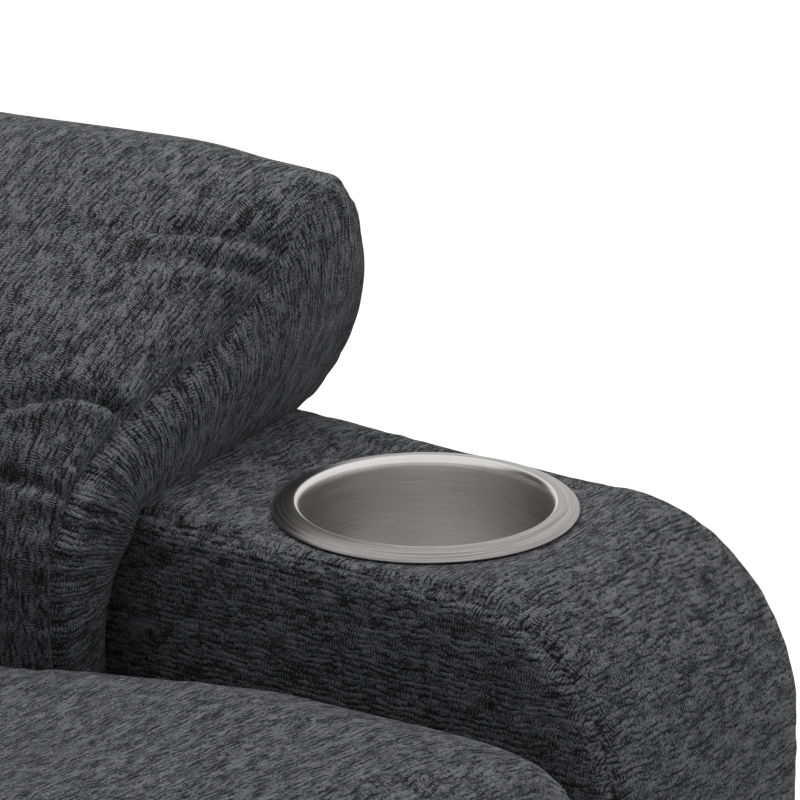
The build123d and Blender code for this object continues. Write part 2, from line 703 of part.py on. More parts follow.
# Main links: hinged on the seat plate, carrying the scissor and the outer link
with BuildPart() as main_link:
    link_bar(MAIN_PIVOT, OUTER_PIVOT, 1)
    pivot_pin(MAIN_PIVOT, 1)
    pivot_hole(SCISSOR_PIVOT, 1)
    pivot_hole(OUTER_PIVOT, 1)
keep_pair(main_link.part, "main_link")

# Rear links, parallel to the main links
with BuildPart() as rear_link:
    link_bar(REAR_PIVOT, REAR_LINK_END, 1)
    pivot_pin(REAR_PIVOT, 1)
    pivot_hole(REAR_LINK_END, 1)
keep_pair(rear_link.part, "rear_link")

# Scissor links from the rear link over the main link to the footrest
with BuildPart() as scissor_link:
    link_bar(REAR_LINK_END, FOOTREST_PIVOT, 2)
    pivot_pin(REAR_LINK_END, 2)
    pivot_pin(SCISSOR_PIVOT, 2)
    pivot_hole(FOOTREST_PIVOT, 2)
keep_pair(scissor_link.part, "scissor_link")

# Outer links, parallel to the scissor links
with BuildPart() as outer_link:
    link_bar(OUTER_PIVOT, FOOTREST_LOWER_PIVOT, 2)
    pivot_pin(OUTER_PIVOT, 2)
    pivot_hole(FOOTREST_LOWER_PIVOT, 2)
keep_pair(outer_link.part, "outer_link")

# Footrest brackets, bent to a flange on the back of the board
with BuildPart() as footrest_bracket:
    with BuildSketch(side_plane(layer_x(3) - PLATE / 2)):
        with BuildLine():
            FilletPolyline(
                (PANEL_BACK_Y, FOOTREST_PIVOT[1] + 14),
                (FOOTREST_PIVOT[0] + 8, FOOTREST_PIVOT[1] + 12),
                (FOOTREST_LOWER_PIVOT[0] + 14, FOOTREST_LOWER_PIVOT[1] + 6),
                (FOOTREST_LOWER_PIVOT[0] + 4, FOOTREST_LOWER_PIVOT[1] - 14),
                (PANEL_BACK_Y, FOOTREST_LOWER_PIVOT[1] - 44),
                radius=5,
                close=True,
            )
        make_face()
    extrude(amount=PLATE)
    with BuildSketch(Plane.XZ.offset(-PANEL_BACK_Y)):
        flange_z = (FOOTREST_PIVOT[1] + FOOTREST_LOWER_PIVOT[1]) / 2 - 10
        with Locations((layer_x(3) - 14, flange_z)):
            RectangleRounded(32, 108, 8)
    extrude(amount=-PLATE)
    pivot_pin(FOOTREST_PIVOT, 3)
    pivot_pin(FOOTREST_LOWER_PIVOT, 3)
keep_pair(footrest_bracket.part, "footrest_bracket")

# Footrest board
PANEL_BOTTOM = PANEL_TOP - PANEL_HEIGHT
with BuildPart() as footrest_board:
    with BuildSketch(Plane.XZ.offset(-PANEL_BACK_Y)):
        with Locations((0, (PANEL_TOP + PANEL_BOTTOM) / 2)):
            RectangleRounded(2 * PANEL_BOARD_HALF, PANEL_HEIGHT - 16, 12)
    extrude(amount=PANEL_BOARD)
keep(footrest_board.part, "footrest_board")

# Footrest pad: crowned face, drawn in at its ends
PAD_BACK_Y = PANEL_BACK_Y - PANEL_BOARD
PAD_FRONT_Y = FRONT_Y + FOOT_PAD_SETBACK


def foot_section(x, inset):
    """Side outline of the pad with a crowned face, drawn in by an inset."""
    face_y = PAD_FRONT_Y + inset + FOOT_PAD_CROWN / 2
    edge_y = face_y + FOOT_EDGE
    bow_y = face_y + FOOT_EDGE / 4
    top = PANEL_TOP - inset
    bottom = PANEL_BOTTOM + inset
    with BuildSketch(side_plane(x)) as section:
        with BuildLine():
            Line((PAD_BACK_Y, bottom), (PAD_BACK_Y, top))
            Line((PAD_BACK_Y, top), (edge_y, top))
            ThreePointArc((edge_y, top), (bow_y, top - FOOT_EDGE / 4), (face_y, top - FOOT_EDGE))
            ThreePointArc(
                (face_y, top - FOOT_EDGE),
                (face_y - FOOT_PAD_CROWN / 2, (top + bottom) / 2),
                (face_y, bottom + FOOT_EDGE),
            )
            ThreePointArc((face_y, bottom + FOOT_EDGE), (bow_y, bottom + FOOT_EDGE / 4), (edge_y, bottom))
            Line((edge_y, bottom), (PAD_BACK_Y, bottom))
        make_face()
    return section.sketch


foot_xs = [-FOOT_PAD_HALF + FOOT_ROUNDING * step for step in END_STEPS]
foot_xs += [FOOT_PAD_HALF - FOOT_ROUNDING * step for step in reversed(END_STEPS)]
with BuildPart() as footrest_pad:
    foot_sections = []
    for foot_x in foot_xs:
        fall = 1 - rounded_end(FOOT_PAD_HALF - abs(foot_x), FOOT_ROUNDING)
        foot_sections.append(foot_section(foot_x, FOOT_END_INSET * fall))
    loft(foot_sections, ruled=True)
keep(footrest_pad.part, "footrest_pad")

# Drive tube with its slotted crank, welded between the main links
LEG_LEAN = LEG_SWING / 2
LEG_PIN_RUN = LEG_LINE_DROP * tan(radians(LEG_LEAN))
LEG_PIN_Y = MAIN_PIVOT[0] + LEG_PIN_RUN
LEG_LINE_Z = MAIN_PIVOT[1] - LEG_LINE_DROP
CARRIAGE_HALF = RAIL_WIDTH / 2 + SLIDE_GAP + CARRIAGE_WALL
LEG_CRANK_X = LEG_RAIL_X + CARRIAGE_HALF + CRANK_GAP + CRANK_PLATE / 2
LEG_PIN_REACH = LEG_LINE_DROP / cos(radians(LEG_LEAN))
DRIVE_TUBE_HALF = layer_x(1) - PLATE / 2


def crank_plate(axis_point, plate_x, lean, near, far, slot_half):
    """Crank plate that leans from straight down towards the rear, slotted for a carriage pin."""
    down = 270 - lean
    face = plate_x - CRANK_PLATE / 2
    tip = along(axis_point, down, far)
    slot_start = along(axis_point, down, near)
    extrude(bar(axis_point, tip, 2 * slot_half + 18, face), amount=CRANK_PLATE)
    extrude(bar(slot_start, tip, 2 * slot_half, face), amount=CRANK_PLATE, mode=Mode.SUBTRACT)


with BuildPart() as drive_tube:
    crank_plate(MAIN_PIVOT, LEG_CRANK_X, LEG_LEAN, LEG_LINE_DROP - 4, LEG_PIN_REACH + 4, LEG_SLOT_HALF)
    hollow_tube(MAIN_PIVOT, DRIVE_TUBE_HALF)
keep(drive_tube.part, "drive_tube")


# Actuators: a motor with its gear housing, a slotted rail and a carriage with a side pin
def actuator_rail(rail_x, line_z, start_y, end_y):
    """Hollow rail along Y with an open slot on top."""
    with BuildPart() as rail:
        with BuildSketch(Plane.XZ.offset(-start_y)):
            with Locations((rail_x, line_z)):
                RectangleRounded(RAIL_WIDTH, RAIL_HEIGHT, 3)
                Rectangle(RAIL_WIDTH - 5, RAIL_HEIGHT - 5, mode=Mode.SUBTRACT)
            with Locations((rail_x, line_z + RAIL_HEIGHT / 2)):
                Rectangle(9, 8, mode=Mode.SUBTRACT)
        extrude(amount=start_y - end_y)
    return rail.part


def actuator_carriage(rail_x, line_z, pin_y, pin_end_x):
    """Sleeve around the rail with a drive pin on one side."""
    with BuildPart() as carriage:
        outer_width = 2 * CARRIAGE_HALF
        outer_height = RAIL_HEIGHT + 2 * (SLIDE_GAP + CARRIAGE_WALL)
        with BuildSketch(Plane.XZ.offset(-(pin_y + CARRIAGE_LENGTH / 2))):
            with Locations((rail_x, line_z)):
                RectangleRounded(outer_width, outer_height, 6)
                Rectangle(RAIL_WIDTH + 2 * SLIDE_GAP, RAIL_HEIGHT + 2 * SLIDE_GAP, mode=Mode.SUBTRACT)
        extrude(amount=CARRIAGE_LENGTH)
        pin_start = rail_x + CARRIAGE_HALF if pin_end_x > rail_x else rail_x - CARRIAGE_HALF
        extrude(discs([(pin_y, line_z)], DRIVE_PIN_RADIUS, pin_start), amount=pin_end_x - pin_start)
    return carriage.part


def actuator_motor(rail_x, line_z, middle, motor_side):
    """Gear housing with the motor can standing out to one side."""
    with BuildPart() as motor:
        with Locations((rail_x, middle, line_z)):
            Box(HOUSING_WIDTH, HOUSING_LENGTH, HOUSING_HEIGHT)
        fillet(motor.edges().filter_by(Axis.Y), radius=9)
        can_x = rail_x + HOUSING_WIDTH / 2 * motor_side
        cap_x = can_x + MOTOR_LENGTH * motor_side
        extrude(discs([(middle, line_z)], MOTOR_RADIUS, can_x), amount=MOTOR_LENGTH * motor_side)
        extrude(discs([(middle, line_z)], MOTOR_RADIUS - 5, cap_x), amount=6 * motor_side)
    return motor.part


def motor_bracket(rail_x, line_z, tube_y):
    """Two cheeks and a top plate that carry a gear housing on a cross tube."""
    with BuildPart() as bracket:
        bottom = CROSS_TUBE_Z
        top = line_z - HOUSING_HEIGHT / 2
        cheek = BRACKET_LENGTH / 2
        for x in (rail_x - cheek, rail_x + cheek - BRACKET_PLATE):
            with BuildSketch(side_plane(x)):
                with Locations((tube_y, (bottom + top) / 2)):
                    Rectangle(BRACKET_LENGTH, top - bottom)
                with Locations((tube_y, bottom)):
                    Circle(BRACKET_LENGTH / 2)
                    Circle(TUBE_RADIUS, mode=Mode.SUBTRACT)
            extrude(amount=BRACKET_PLATE)
        with Locations((rail_x, tube_y, top - PLATE / 2)):
            Box(BRACKET_LENGTH - 2 * BRACKET_PLATE, BRACKET_LENGTH, PLATE)
    return bracket.part


LEG_RAIL_START = REAR_TUBE_Y - HOUSING_LENGTH / 2
LEG_RAIL_END = MAIN_PIVOT[0] - LEG_PIN_RUN - CARRIAGE_LENGTH / 2 - 6
keep(actuator_rail(LEG_RAIL_X, LEG_LINE_Z, LEG_RAIL_START, LEG_RAIL_END), "leg_rail")
LEG_PIN_END = LEG_CRANK_X + CRANK_PLATE / 2 + 4
keep(actuator_carriage(LEG_RAIL_X, LEG_LINE_Z, LEG_PIN_Y, LEG_PIN_END), "leg_carriage")
leg_motor = actuator_motor(LEG_RAIL_X, LEG_LINE_Z, REAR_TUBE_Y, -1)
keep(leg_motor, "leg_motor")
keep(motor_bracket(LEG_RAIL_X, LEG_LINE_Z, REAR_TUBE_Y), "leg_motor_bracket")

BACK_LEAN = BACK_SWING / 2
BACK_PIN_RUN = BACK_LINE_DROP * tan(radians(BACK_LEAN))
BACK_PIN_Y = HINGE_Y + BACK_PIN_RUN
BACK_LINE_Z = HINGE_Z - BACK_LINE_DROP
BACK_CRANK_X = BACK_RAIL_X - CARRIAGE_HALF - CRANK_GAP - CRANK_PLATE / 2
BACK_RAIL_START = BACK_PIN_Y + CARRIAGE_LENGTH / 2 + 6
BACK_RAIL_END = FRONT_TUBE_Y + HOUSING_LENGTH / 2
keep(actuator_rail(BACK_RAIL_X, BACK_LINE_Z, BACK_RAIL_START, BACK_RAIL_END), "back_rail")
BACK_PIN_END = BACK_CRANK_X - CRANK_PLATE / 2 - 4
keep(actuator_carriage(BACK_RAIL_X, BACK_LINE_Z, BACK_PIN_Y, BACK_PIN_END), "back_carriage")
back_motor = actuator_motor(BACK_RAIL_X, BACK_LINE_Z, FRONT_TUBE_Y, 1)
keep(back_motor, "back_motor")
keep(motor_bracket(BACK_RAIL_X, BACK_LINE_Z, FRONT_TUBE_Y), "back_motor_bracket")

# Back brackets: hinged on the seat plates, bolted to the ends of the back's lower rail
BACK_TUBE_POINT = along(HINGE, 270 - BACK_LEAN, BACK_TUBE_DROP)
BRACKET_HALF = layer_x(1) - PLATE / 2
with BuildPart() as back_bracket:
    extrude(bar(HINGE, BACK_TUBE_POINT, 40, layer_x(1) - PLATE / 2), amount=PLATE)
    extrude(bar(HINGE, (HINGE_Y + 12, HINGE_Z + 26), 40, layer_x(1) - PLATE / 2), amount=PLATE)
    pivot_pin(HINGE, 1)
keep_pair(back_bracket.part, "back_bracket")

# Back tube between the brackets, with the crank of the back actuator
BACK_PIN_REACH = BACK_LINE_DROP / cos(radians(BACK_LEAN))
with BuildPart() as back_tube:
    crank_near = BACK_LINE_DROP - BACK_TUBE_DROP - 4
    crank_far = BACK_PIN_REACH - BACK_TUBE_DROP + 4
    crank_plate(BACK_TUBE_POINT, BACK_CRANK_X, BACK_LEAN, crank_near, crank_far, BACK_SLOT_HALF)
    hollow_tube(BACK_TUBE_POINT, BRACKET_HALF)
keep(back_tube.part, "back_tube")

# Back frame boards: lower rail, two stiles, middle rail and top rail
STILE_IN = BACK_STILE_OUTER - BACK_STILE
STILE_MID = BACK_STILE_OUTER - BACK_STILE / 2
STILE_LENGTH = STILE_TOP - LOWER_RAIL_TOP
LOWER_RAIL_MID = (LOWER_RAIL_BOTTOM + LOWER_RAIL_TOP) / 2
BACK_BOARDS = [
    (0, LOWER_RAIL_MID, 2 * BRACKET_HALF, LOWER_RAIL_TOP - LOWER_RAIL_BOTTOM),
    (-STILE_MID, LOWER_RAIL_TOP + STILE_LENGTH / 2, BACK_STILE, STILE_LENGTH),
    (STILE_MID, LOWER_RAIL_TOP + STILE_LENGTH / 2, BACK_STILE, STILE_LENGTH),
    (0, MIDDLE_RAIL, 2 * STILE_IN, BACK_RAIL_HEIGHT),
    (0, STILE_TOP - BACK_RAIL_HEIGHT / 2, 2 * STILE_IN, BACK_RAIL_HEIGHT),
]
back_boards = []
for board_x, board_y, board_width, board_height in BACK_BOARDS:
    with BuildPart() as back_board:
        with BuildSketch(BACK_PLANE):
            with Locations((board_x, board_y)):
                Rectangle(board_width, board_height)
        extrude(amount=BACK_FRAME)
    back_boards.append(back_board.part)
keep_group(back_boards, "back_frame")

# Back springs between the lower rail and the top rail
with BuildPart() as back_springs:
    with BuildSketch(BACK_PLANE.offset(-ZIGZAG_WIRE)):
        for i in range(SPRING_COUNT):
            spring_x = (i - (SPRING_COUNT - 1) / 2) * BACK_SPRING_PITCH
            zigzag((spring_x, LOWER_RAIL_TOP - 12), STILE_LENGTH - 14)
    extrude(amount=ZIGZAG_WIRE)
keep(back_springs.part, "back_springs")

# Back cushion: three swells with sewn channels between, narrow between the arms and wider above
CUSHION_BACK = -ZIGZAG_WIRE - SOFT_GAP


def back_section(up, half, depth):
    """Crowned outline across the back, at a height up the back."""
    plane = Plane(
        origin=Vector(0, HINGE_Y, HINGE_Z) + BACK_UP * up,
        x_dir=(1, 0, 0),
        z_dir=BACK_UP,
    )
    front = CUSHION_BACK - depth
    side = CUSHION_BACK - depth * BACK_SIDE_SHARE
    bow = CUSHION_BACK - depth * BACK_BOW_SHARE
    shoulder = CUSHION_BACK - depth * BACK_SHOULDER_SHARE
    bow_x = half - BACK_SHOULDER_BOW
    shoulder_x = half - BACK_SHOULDER
    with BuildSketch(plane) as section:
        with BuildLine():
            Line((half, CUSHION_BACK), (-half, CUSHION_BACK))
            Line((-half, CUSHION_BACK), (-half, side))
            ThreePointArc((-half, side), (-bow_x, bow), (-shoulder_x, shoulder))
            ThreePointArc((-shoulder_x, shoulder), (0, front), (shoulder_x, shoulder))
            ThreePointArc((shoulder_x, shoulder), (bow_x, bow), (half, side))
            Line((half, side), (half, CUSHION_BACK))
        make_face()
    return section.sketch


with BuildPart() as back_cushion:
    back_sections = []
    for low, high in zip(CHANNELS, CHANNELS[1:]):
        for step in LOBE_STEPS:
            up = low + (high - low) * step
            swell = sqrt(sin(pi * step))
            wing = min(1.0, max(0.0, (up - WING_START) / (WING_END - WING_START)))
            wing = wing * wing * (3 - 2 * wing)
            top_fall = 1 - rounded_end(BACK_HEIGHT - up, BACK_TOP_ROUNDING)
            half = BACK_LOWER_HALF + BACK_WING * wing
            half = half - CHANNEL_INSET * (1 - swell) - BACK_TOP_INSET * top_fall
            depth = BACK_CUSHION - CHANNEL_DEPTH * (1 - swell)
            back_sections.append(back_section(up, half, depth))
    loft(back_sections, ruled=True)
keep(back_cushion.part, "back_cushion")

# Outside back: the padded rear cover with its side and top borders, narrow between the arms
BORDER_BOTTOM = LOWER_RAIL_TOP + 4


def back_outline(inset, bottom, offset):
    """Outline of the back from a height upwards, drawn in by an inset."""
    lower = BACK_LOWER_HALF - inset
    upper = BACK_UPPER_HALF - inset
    top = BACK_HEIGHT - 6 - inset
    right_side = [
        (lower, bottom),
        (lower, WING_START - 6),
        (upper - 2, WING_END),
        (upper - 8, top - 40),
    ]
    left_side = [(-x, y) for x, y in reversed(right_side)]
    with BuildSketch(BACK_PLANE.offset(offset)) as outline:
        with BuildLine():
            FilletPolyline(
                *right_side,
                (upper - 52, top),
                (-upper + 52, top),
                *left_side,
                radius=12,
                close=True,
            )
        make_face()
    return outline.sketch


with BuildPart() as outside_back:
    extrude(back_outline(0, LOWER_RAIL_BOTTOM, BACK_FRAME), amount=OUTSIDE_BACK)
    fillet(outside_back.faces().sort_by(Axis(BACK_PLANE.origin, BACK_OUT))[-1].edges(), radius=6)
    extrude(back_outline(0, BORDER_BOTTOM, 0), amount=BACK_FRAME)
    extrude(back_outline(BACK_WALL, BORDER_BOTTOM - BACK_WALL, 0), amount=BACK_FRAME, mode=Mode.SUBTRACT)
keep(outside_back.part, "outside_back")

# Switch panel: a plain plate with a tray behind it, on the outside of the right arm
BUTTON_YS = [SWITCH_Y + (i - 1.5) * BUTTON_PITCH for i in range(4)]
PLATE_FACE_X = -ARM_OUT + BUTTON_PROUD
PLATE_BACK_X = PLATE_FACE_X + SWITCH_PLATE
with BuildPart() as switch_panel:
    extrude(switch_outline(SWITCH_LENGTH, SWITCH_HEIGHT, PLATE_FACE_X), amount=SWITCH_PLATE)
    chamfer(switch_panel.faces().sort_by(Axis.X)[0].edges(), length=SWITCH_BEVEL)
    extrude(switch_outline(TRAY_LENGTH, TRAY_HEIGHT, PLATE_BACK_X), amount=TRAY_DEPTH)
    tray_inside = switch_outline(TRAY_LENGTH - 2 * TRAY_WALL, TRAY_HEIGHT - 2 * TRAY_WALL, PLATE_BACK_X)
    extrude(tray_inside, amount=TRAY_DEPTH - TRAY_WALL, mode=Mode.SUBTRACT)
    button_points = [(y, SWITCH_Z) for y in BUTTON_YS]
    holes = discs(button_points, BUTTON_RADIUS + BUTTON_GAP, PLATE_FACE_X)
    extrude(holes, amount=SWITCH_PLATE, mode=Mode.SUBTRACT)
keep(switch_panel.part, "switch_panel")

# Buttons: a bevelled cap with a collar behind the plate
BUTTON_NAMES = ["footrest_out_button", "footrest_in_button", "back_down_button", "back_up_button"]
for button_y, button_name in zip(BUTTON_YS, BUTTON_NAMES):
    button_point = [(button_y, SWITCH_Z)]
    with BuildPart() as button:
        button_length = BUTTON_PROUD + SWITCH_PLATE + BUTTON_STEM
        extrude(discs(button_point, BUTTON_RADIUS, -ARM_OUT), amount=button_length)
        chamfer(button.faces().sort_by(Axis.X)[0].edges(), length=BUTTON_BEVEL)
        collar = discs(button_point, BUTTON_RADIUS + BUTTON_COLLAR, PLATE_BACK_X + BUTTON_GAP)
        extrude(collar, amount=BUTTON_FLANGE)
    keep(button.part, button_name)
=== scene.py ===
# %% [markdown]
# # A power recliner in charcoal chenille
# The chair's boards, plates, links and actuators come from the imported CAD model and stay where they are.
# This lesson dresses that frame: sewn covers, stuffed cushions, steel cups, and a finish for every bare part.

# %% Load the frame
import math
import time

import bmesh
import bpy
import numpy as np
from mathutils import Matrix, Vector


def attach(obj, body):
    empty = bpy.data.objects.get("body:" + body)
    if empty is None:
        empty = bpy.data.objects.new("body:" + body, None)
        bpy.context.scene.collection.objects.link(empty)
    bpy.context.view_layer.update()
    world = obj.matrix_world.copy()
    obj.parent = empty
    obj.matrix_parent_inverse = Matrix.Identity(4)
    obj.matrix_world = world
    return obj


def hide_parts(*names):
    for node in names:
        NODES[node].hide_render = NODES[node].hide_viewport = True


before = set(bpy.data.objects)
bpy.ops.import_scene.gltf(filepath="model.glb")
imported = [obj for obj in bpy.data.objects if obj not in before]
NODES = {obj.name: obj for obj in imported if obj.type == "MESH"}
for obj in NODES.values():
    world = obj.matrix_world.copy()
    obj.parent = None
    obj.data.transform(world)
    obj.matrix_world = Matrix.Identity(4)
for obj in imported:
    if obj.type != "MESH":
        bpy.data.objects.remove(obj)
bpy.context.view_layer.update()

MM = 0.001
scene = bpy.context.scene

# %% [markdown]
# ## Camera
# The photograph was taken with a long lens from the sitter's front right, looking down a little.
# A long lens keeps parallel edges parallel, so the camera stands far off and the lens is 317 mm.
# The cup is the anchor: its centre has to land a little right of the middle and below it.

# %% Camera
AZIMUTH = math.radians(-55)
ELEVATION = math.radians(19.5)
PIXELS_PER_MM = 2.82
CAMERA_DISTANCE = 2.5
SENSOR = 36.0
IMAGE = 800
CUP_CENTRE = Vector((0.342, -0.335, 0.530))
CUP_PIXEL = (426, 509)

to_camera = Vector((
    math.sin(AZIMUTH) * math.cos(ELEVATION),
    -math.cos(AZIMUTH) * math.cos(ELEVATION),
    math.sin(ELEVATION),
))
image_right = Vector((math.cos(AZIMUTH), math.sin(AZIMUTH), 0))
image_up = to_camera.cross(image_right)
aim = CUP_CENTRE.copy()
aim += image_right * ((IMAGE / 2 - CUP_PIXEL[0]) / PIXELS_PER_MM * MM)
aim += image_up * ((CUP_PIXEL[1] - IMAGE / 2) / PIXELS_PER_MM * MM)
lens_data = bpy.data.cameras.new("photo_camera")
lens_data.sensor_width = SENSOR
lens_data.lens = SENSOR * CAMERA_DISTANCE / (IMAGE / PIXELS_PER_MM * MM)
lens_data.clip_start = 0.1
lens_data.clip_end = 100
camera = bpy.data.objects.new("photo_camera", lens_data)
camera.location = aim + to_camera * CAMERA_DISTANCE
camera.rotation_mode = "QUATERNION"
camera.rotation_quaternion = (-to_camera).to_track_quat("-Z", "Y")
scene.collection.objects.link(camera)
scene.camera = camera
scene.view_settings.view_transform = "Standard"
print("camera lens", round(lens_data.lens), "mm")

# %% [markdown]
# ## Node helpers
# Materials here are built from nodes in code. Short helpers keep that readable: they add a node and set its
# values by name, chain maths nodes, start a group or a material, and fill a colour ramp.


# %% Node helpers
def add_node(tree, kind, inputs=None, **settings):
    """Adds a node, sets its properties, and links or sets its inputs by name or number."""
    made = tree.nodes.new(kind)
    for key, value in settings.items():
        setattr(made, key, value)
    for key, value in (inputs or {}).items():
        if isinstance(value, bpy.types.NodeSocket):
            tree.links.new(value, made.inputs[key])
        else:
            made.inputs[key].default_value = value
    return made


def maths(tree, operation, a, b=0.0, c=0.0):
    """One maths node, and its output."""
    return add_node(tree, "ShaderNodeMath", {0: a, 1: b, 2: c}, operation=operation).outputs[0]


def new_group(name, inputs, outputs):
    """An empty shader group with named float, vector or colour sockets."""
    group = bpy.data.node_groups.new(name, "ShaderNodeTree")
    for label, kind, value in inputs:
        socket = group.interface.new_socket(label, in_out="INPUT", socket_type=kind)
        if value is not None:
            socket.default_value = value
    for label, kind in outputs:
        group.interface.new_socket(label, in_out="OUTPUT", socket_type=kind)
    return group, group.nodes.new("NodeGroupInput").outputs, group.nodes.new("NodeGroupOutput").inputs


def new_material(name, roughness=0.5, metallic=0.0, colour=(0.5, 0.5, 0.5)):
    """A node material, with its tree and its main shader."""
    material = bpy.data.materials.new(name)
    material.use_nodes = True
    shader = material.node_tree.nodes["Principled BSDF"]
    shader.inputs["Roughness"].default_value = roughness
    shader.inputs["Metallic"].default_value = metallic
    shader.inputs["Base Color"].default_value = (*colour, 1)
    return material, material.node_tree, shader


def place_group(tree, group, inputs):
    """A copy of a shared group in a material."""
    return add_node(tree, "ShaderNodeGroup", inputs, node_tree=group).outputs


def ramp(tree, factor, stops):
    """A colour ramp with grey or coloured stops."""
    made = add_node(tree, "ShaderNodeValToRGB", {"Fac": factor})
    elements = made.color_ramp.elements
    while len(elements) < len(stops):
        elements.new(0.5)
    for element, (position, colour) in zip(elements, stops):
        element.position = position
        element.color = (*colour, 1)
    return made.outputs["Color"]


# %% [markdown]
# ## Light and floor
# The photograph has soft light from above and behind the arm, and a white background. A large softbox over
# the rear of the arm gives that light and its soft falloff, a weak wide sun fills the front, and the world
# lifts the shadows. Camera and mirror rays see a white world and a lifted floor, so the background is white
# without more light on the cloth.

# %% Lamps
SOFTBOX_WATTS = 11.5
SUN_SHARE = 0.2
WORLD_SHARE = 0.24
FLOOR_LIFT = 0.66
FLOOR_HALF = 40.0
softbox_data = bpy.data.lights.new("softbox", "AREA")
softbox_data.energy = SOFTBOX_WATTS
softbox_data.size = 1.5
softbox = bpy.data.objects.new("softbox", softbox_data)
softbox.location = (0.5, 0.3, 1.65)
softbox.visible_camera = False
softbox.visible_glossy = False
scene.collection.objects.link(softbox)
sun_data = bpy.data.lights.new("soft_sun", "SUN")
sun_data.energy = SUN_SHARE * math.pi
sun_data.angle = math.radians(50)
sun = bpy.data.objects.new("soft_sun", sun_data)
sun.rotation_euler = (math.radians(34), math.radians(26), 0)
sun.visible_glossy = False
scene.collection.objects.link(sun)

# %% World
world = bpy.data.worlds.new("studio")
world.use_nodes = True
scene.world = world
wt = world.node_tree
wt.nodes.clear()
seen = add_node(wt, "ShaderNodeLightPath").outputs
white_rays = maths(wt, "MAXIMUM", seen["Is Camera Ray"], seen["Is Glossy Ray"])
white_rays = maths(wt, "MAXIMUM", white_rays, seen["Is Transmission Ray"])
fill = add_node(wt, "ShaderNodeBackground", {"Color": (0.96, 0.98, 1, 1), "Strength": WORLD_SHARE})
white = add_node(wt, "ShaderNodeBackground", {"Color": (1, 1, 1, 1), "Strength": 1.0})
mixed = add_node(wt, "ShaderNodeMixShader", {0: white_rays, 1: fill.outputs[0], 2: white.outputs[0]})
add_node(wt, "ShaderNodeOutputWorld", {0: mixed.outputs[0]})

# %% Floor
floor_material, ft, floor_shader = new_material("pale_floor", 0.9, 0, (0.86, 0.86, 0.86))
path = add_node(ft, "ShaderNodeLightPath").outputs
floor_seen = maths(ft, "MAXIMUM", path["Is Camera Ray"], path["Is Glossy Ray"])
glow = maths(ft, "MULTIPLY", floor_seen, FLOOR_LIFT)
lift = add_node(ft, "ShaderNodeEmission", {"Color": (1, 1, 1, 1), "Strength": glow})
both = add_node(ft, "ShaderNodeAddShader", {0: floor_shader.outputs[0], 1: lift.outputs[0]})
ft.links.new(both.outputs[0], ft.nodes["Material Output"].inputs[0])
floor_mesh = bpy.data.meshes.new("floor")
floor_corners = [(x * FLOOR_HALF, y * FLOOR_HALF, 0) for x, y in ((-1, -1), (1, -1), (1, 1), (-1, 1))]
floor_mesh.from_pydata(floor_corners, [], [(0, 1, 2, 3)])
floor_mesh.materials.append(floor_material)
floor = bpy.data.objects.new("floor", floor_mesh)
scene.collection.objects.link(floor)
print("softbox", SOFTBOX_WATTS, "W, sun share", SUN_SHARE, "world share", WORLD_SHARE)

# %% [markdown]
# ## Chenille
# The cover is a melange chenille: thick furry weft threads lie side by side in rows, each thread changes from
# near black to mid grey along its length, and fine ribs cross it where the pile was cut. An image could carry
# this, but nodes stay sharp at any distance. The group reads cloth coordinates in metres, u along the threads
# and v across them, from each piece's own UV map, so the threads follow the sewing.

# %% Chenille group
FLOAT, VECTOR = "NodeSocketFloat", "NodeSocketVector"
ROW_PITCH = 0.0023
RIB_PITCH = 0.00112
chenille, g_in, g_out = new_group(
    "Chenille rows",
    [("Cloth", VECTOR, None), ("Row", FLOAT, ROW_PITCH), ("Rib", FLOAT, RIB_PITCH)],
    [("Tone", FLOAT), ("Height", FLOAT)],
)
t = chenille
drift = add_node(t, "ShaderNodeTexNoise", {"Vector": g_in["Cloth"], "Scale": 80.0, "Detail": 4.0}).outputs[0]
uv = add_node(t, "ShaderNodeSeparateXYZ", {0: g_in["Cloth"]}).outputs
v = maths(t, "MULTIPLY_ADD", drift, 0.0055, uv["Y"])
rows = maths(t, "DIVIDE", v, g_in["Row"])
row = maths(t, "FLOOR", rows)
across = maths(t, "FRACT", rows)
furrow_row = maths(t, "ROUND", rows)
thread = maths(t, "MULTIPLY", maths(t, "PINGPONG", across, 0.5), 2.0)
round_thread = maths(t, "POWER", thread, 0.55)


def chance_of(number):
    """A random value for each row or furrow."""
    return add_node(t, "ShaderNodeTexWhiteNoise", {"W": number}, noise_dimensions="1D").outputs["Value"]


def streaks(length, level, detail, offset):
    """Noise drawn out along the threads."""
    along = maths(t, "DIVIDE", uv["X"], length)
    place = add_node(t, "ShaderNodeCombineXYZ", {0: along, 1: level, 2: offset}).outputs[0]
    settings = {"Vector": place, "Detail": detail, "Scale": 1.0, "Roughness": 0.6}
    return add_node(t, "ShaderNodeTexNoise", settings).outputs[0]


def step_up(value, low, high):
    """0 below low, 1 above high."""
    limits = {"Value": value, 1: low, 2: high}
    return add_node(t, "ShaderNodeMapRange", limits, interpolation_type="SMOOTHSTEP").outputs[0]


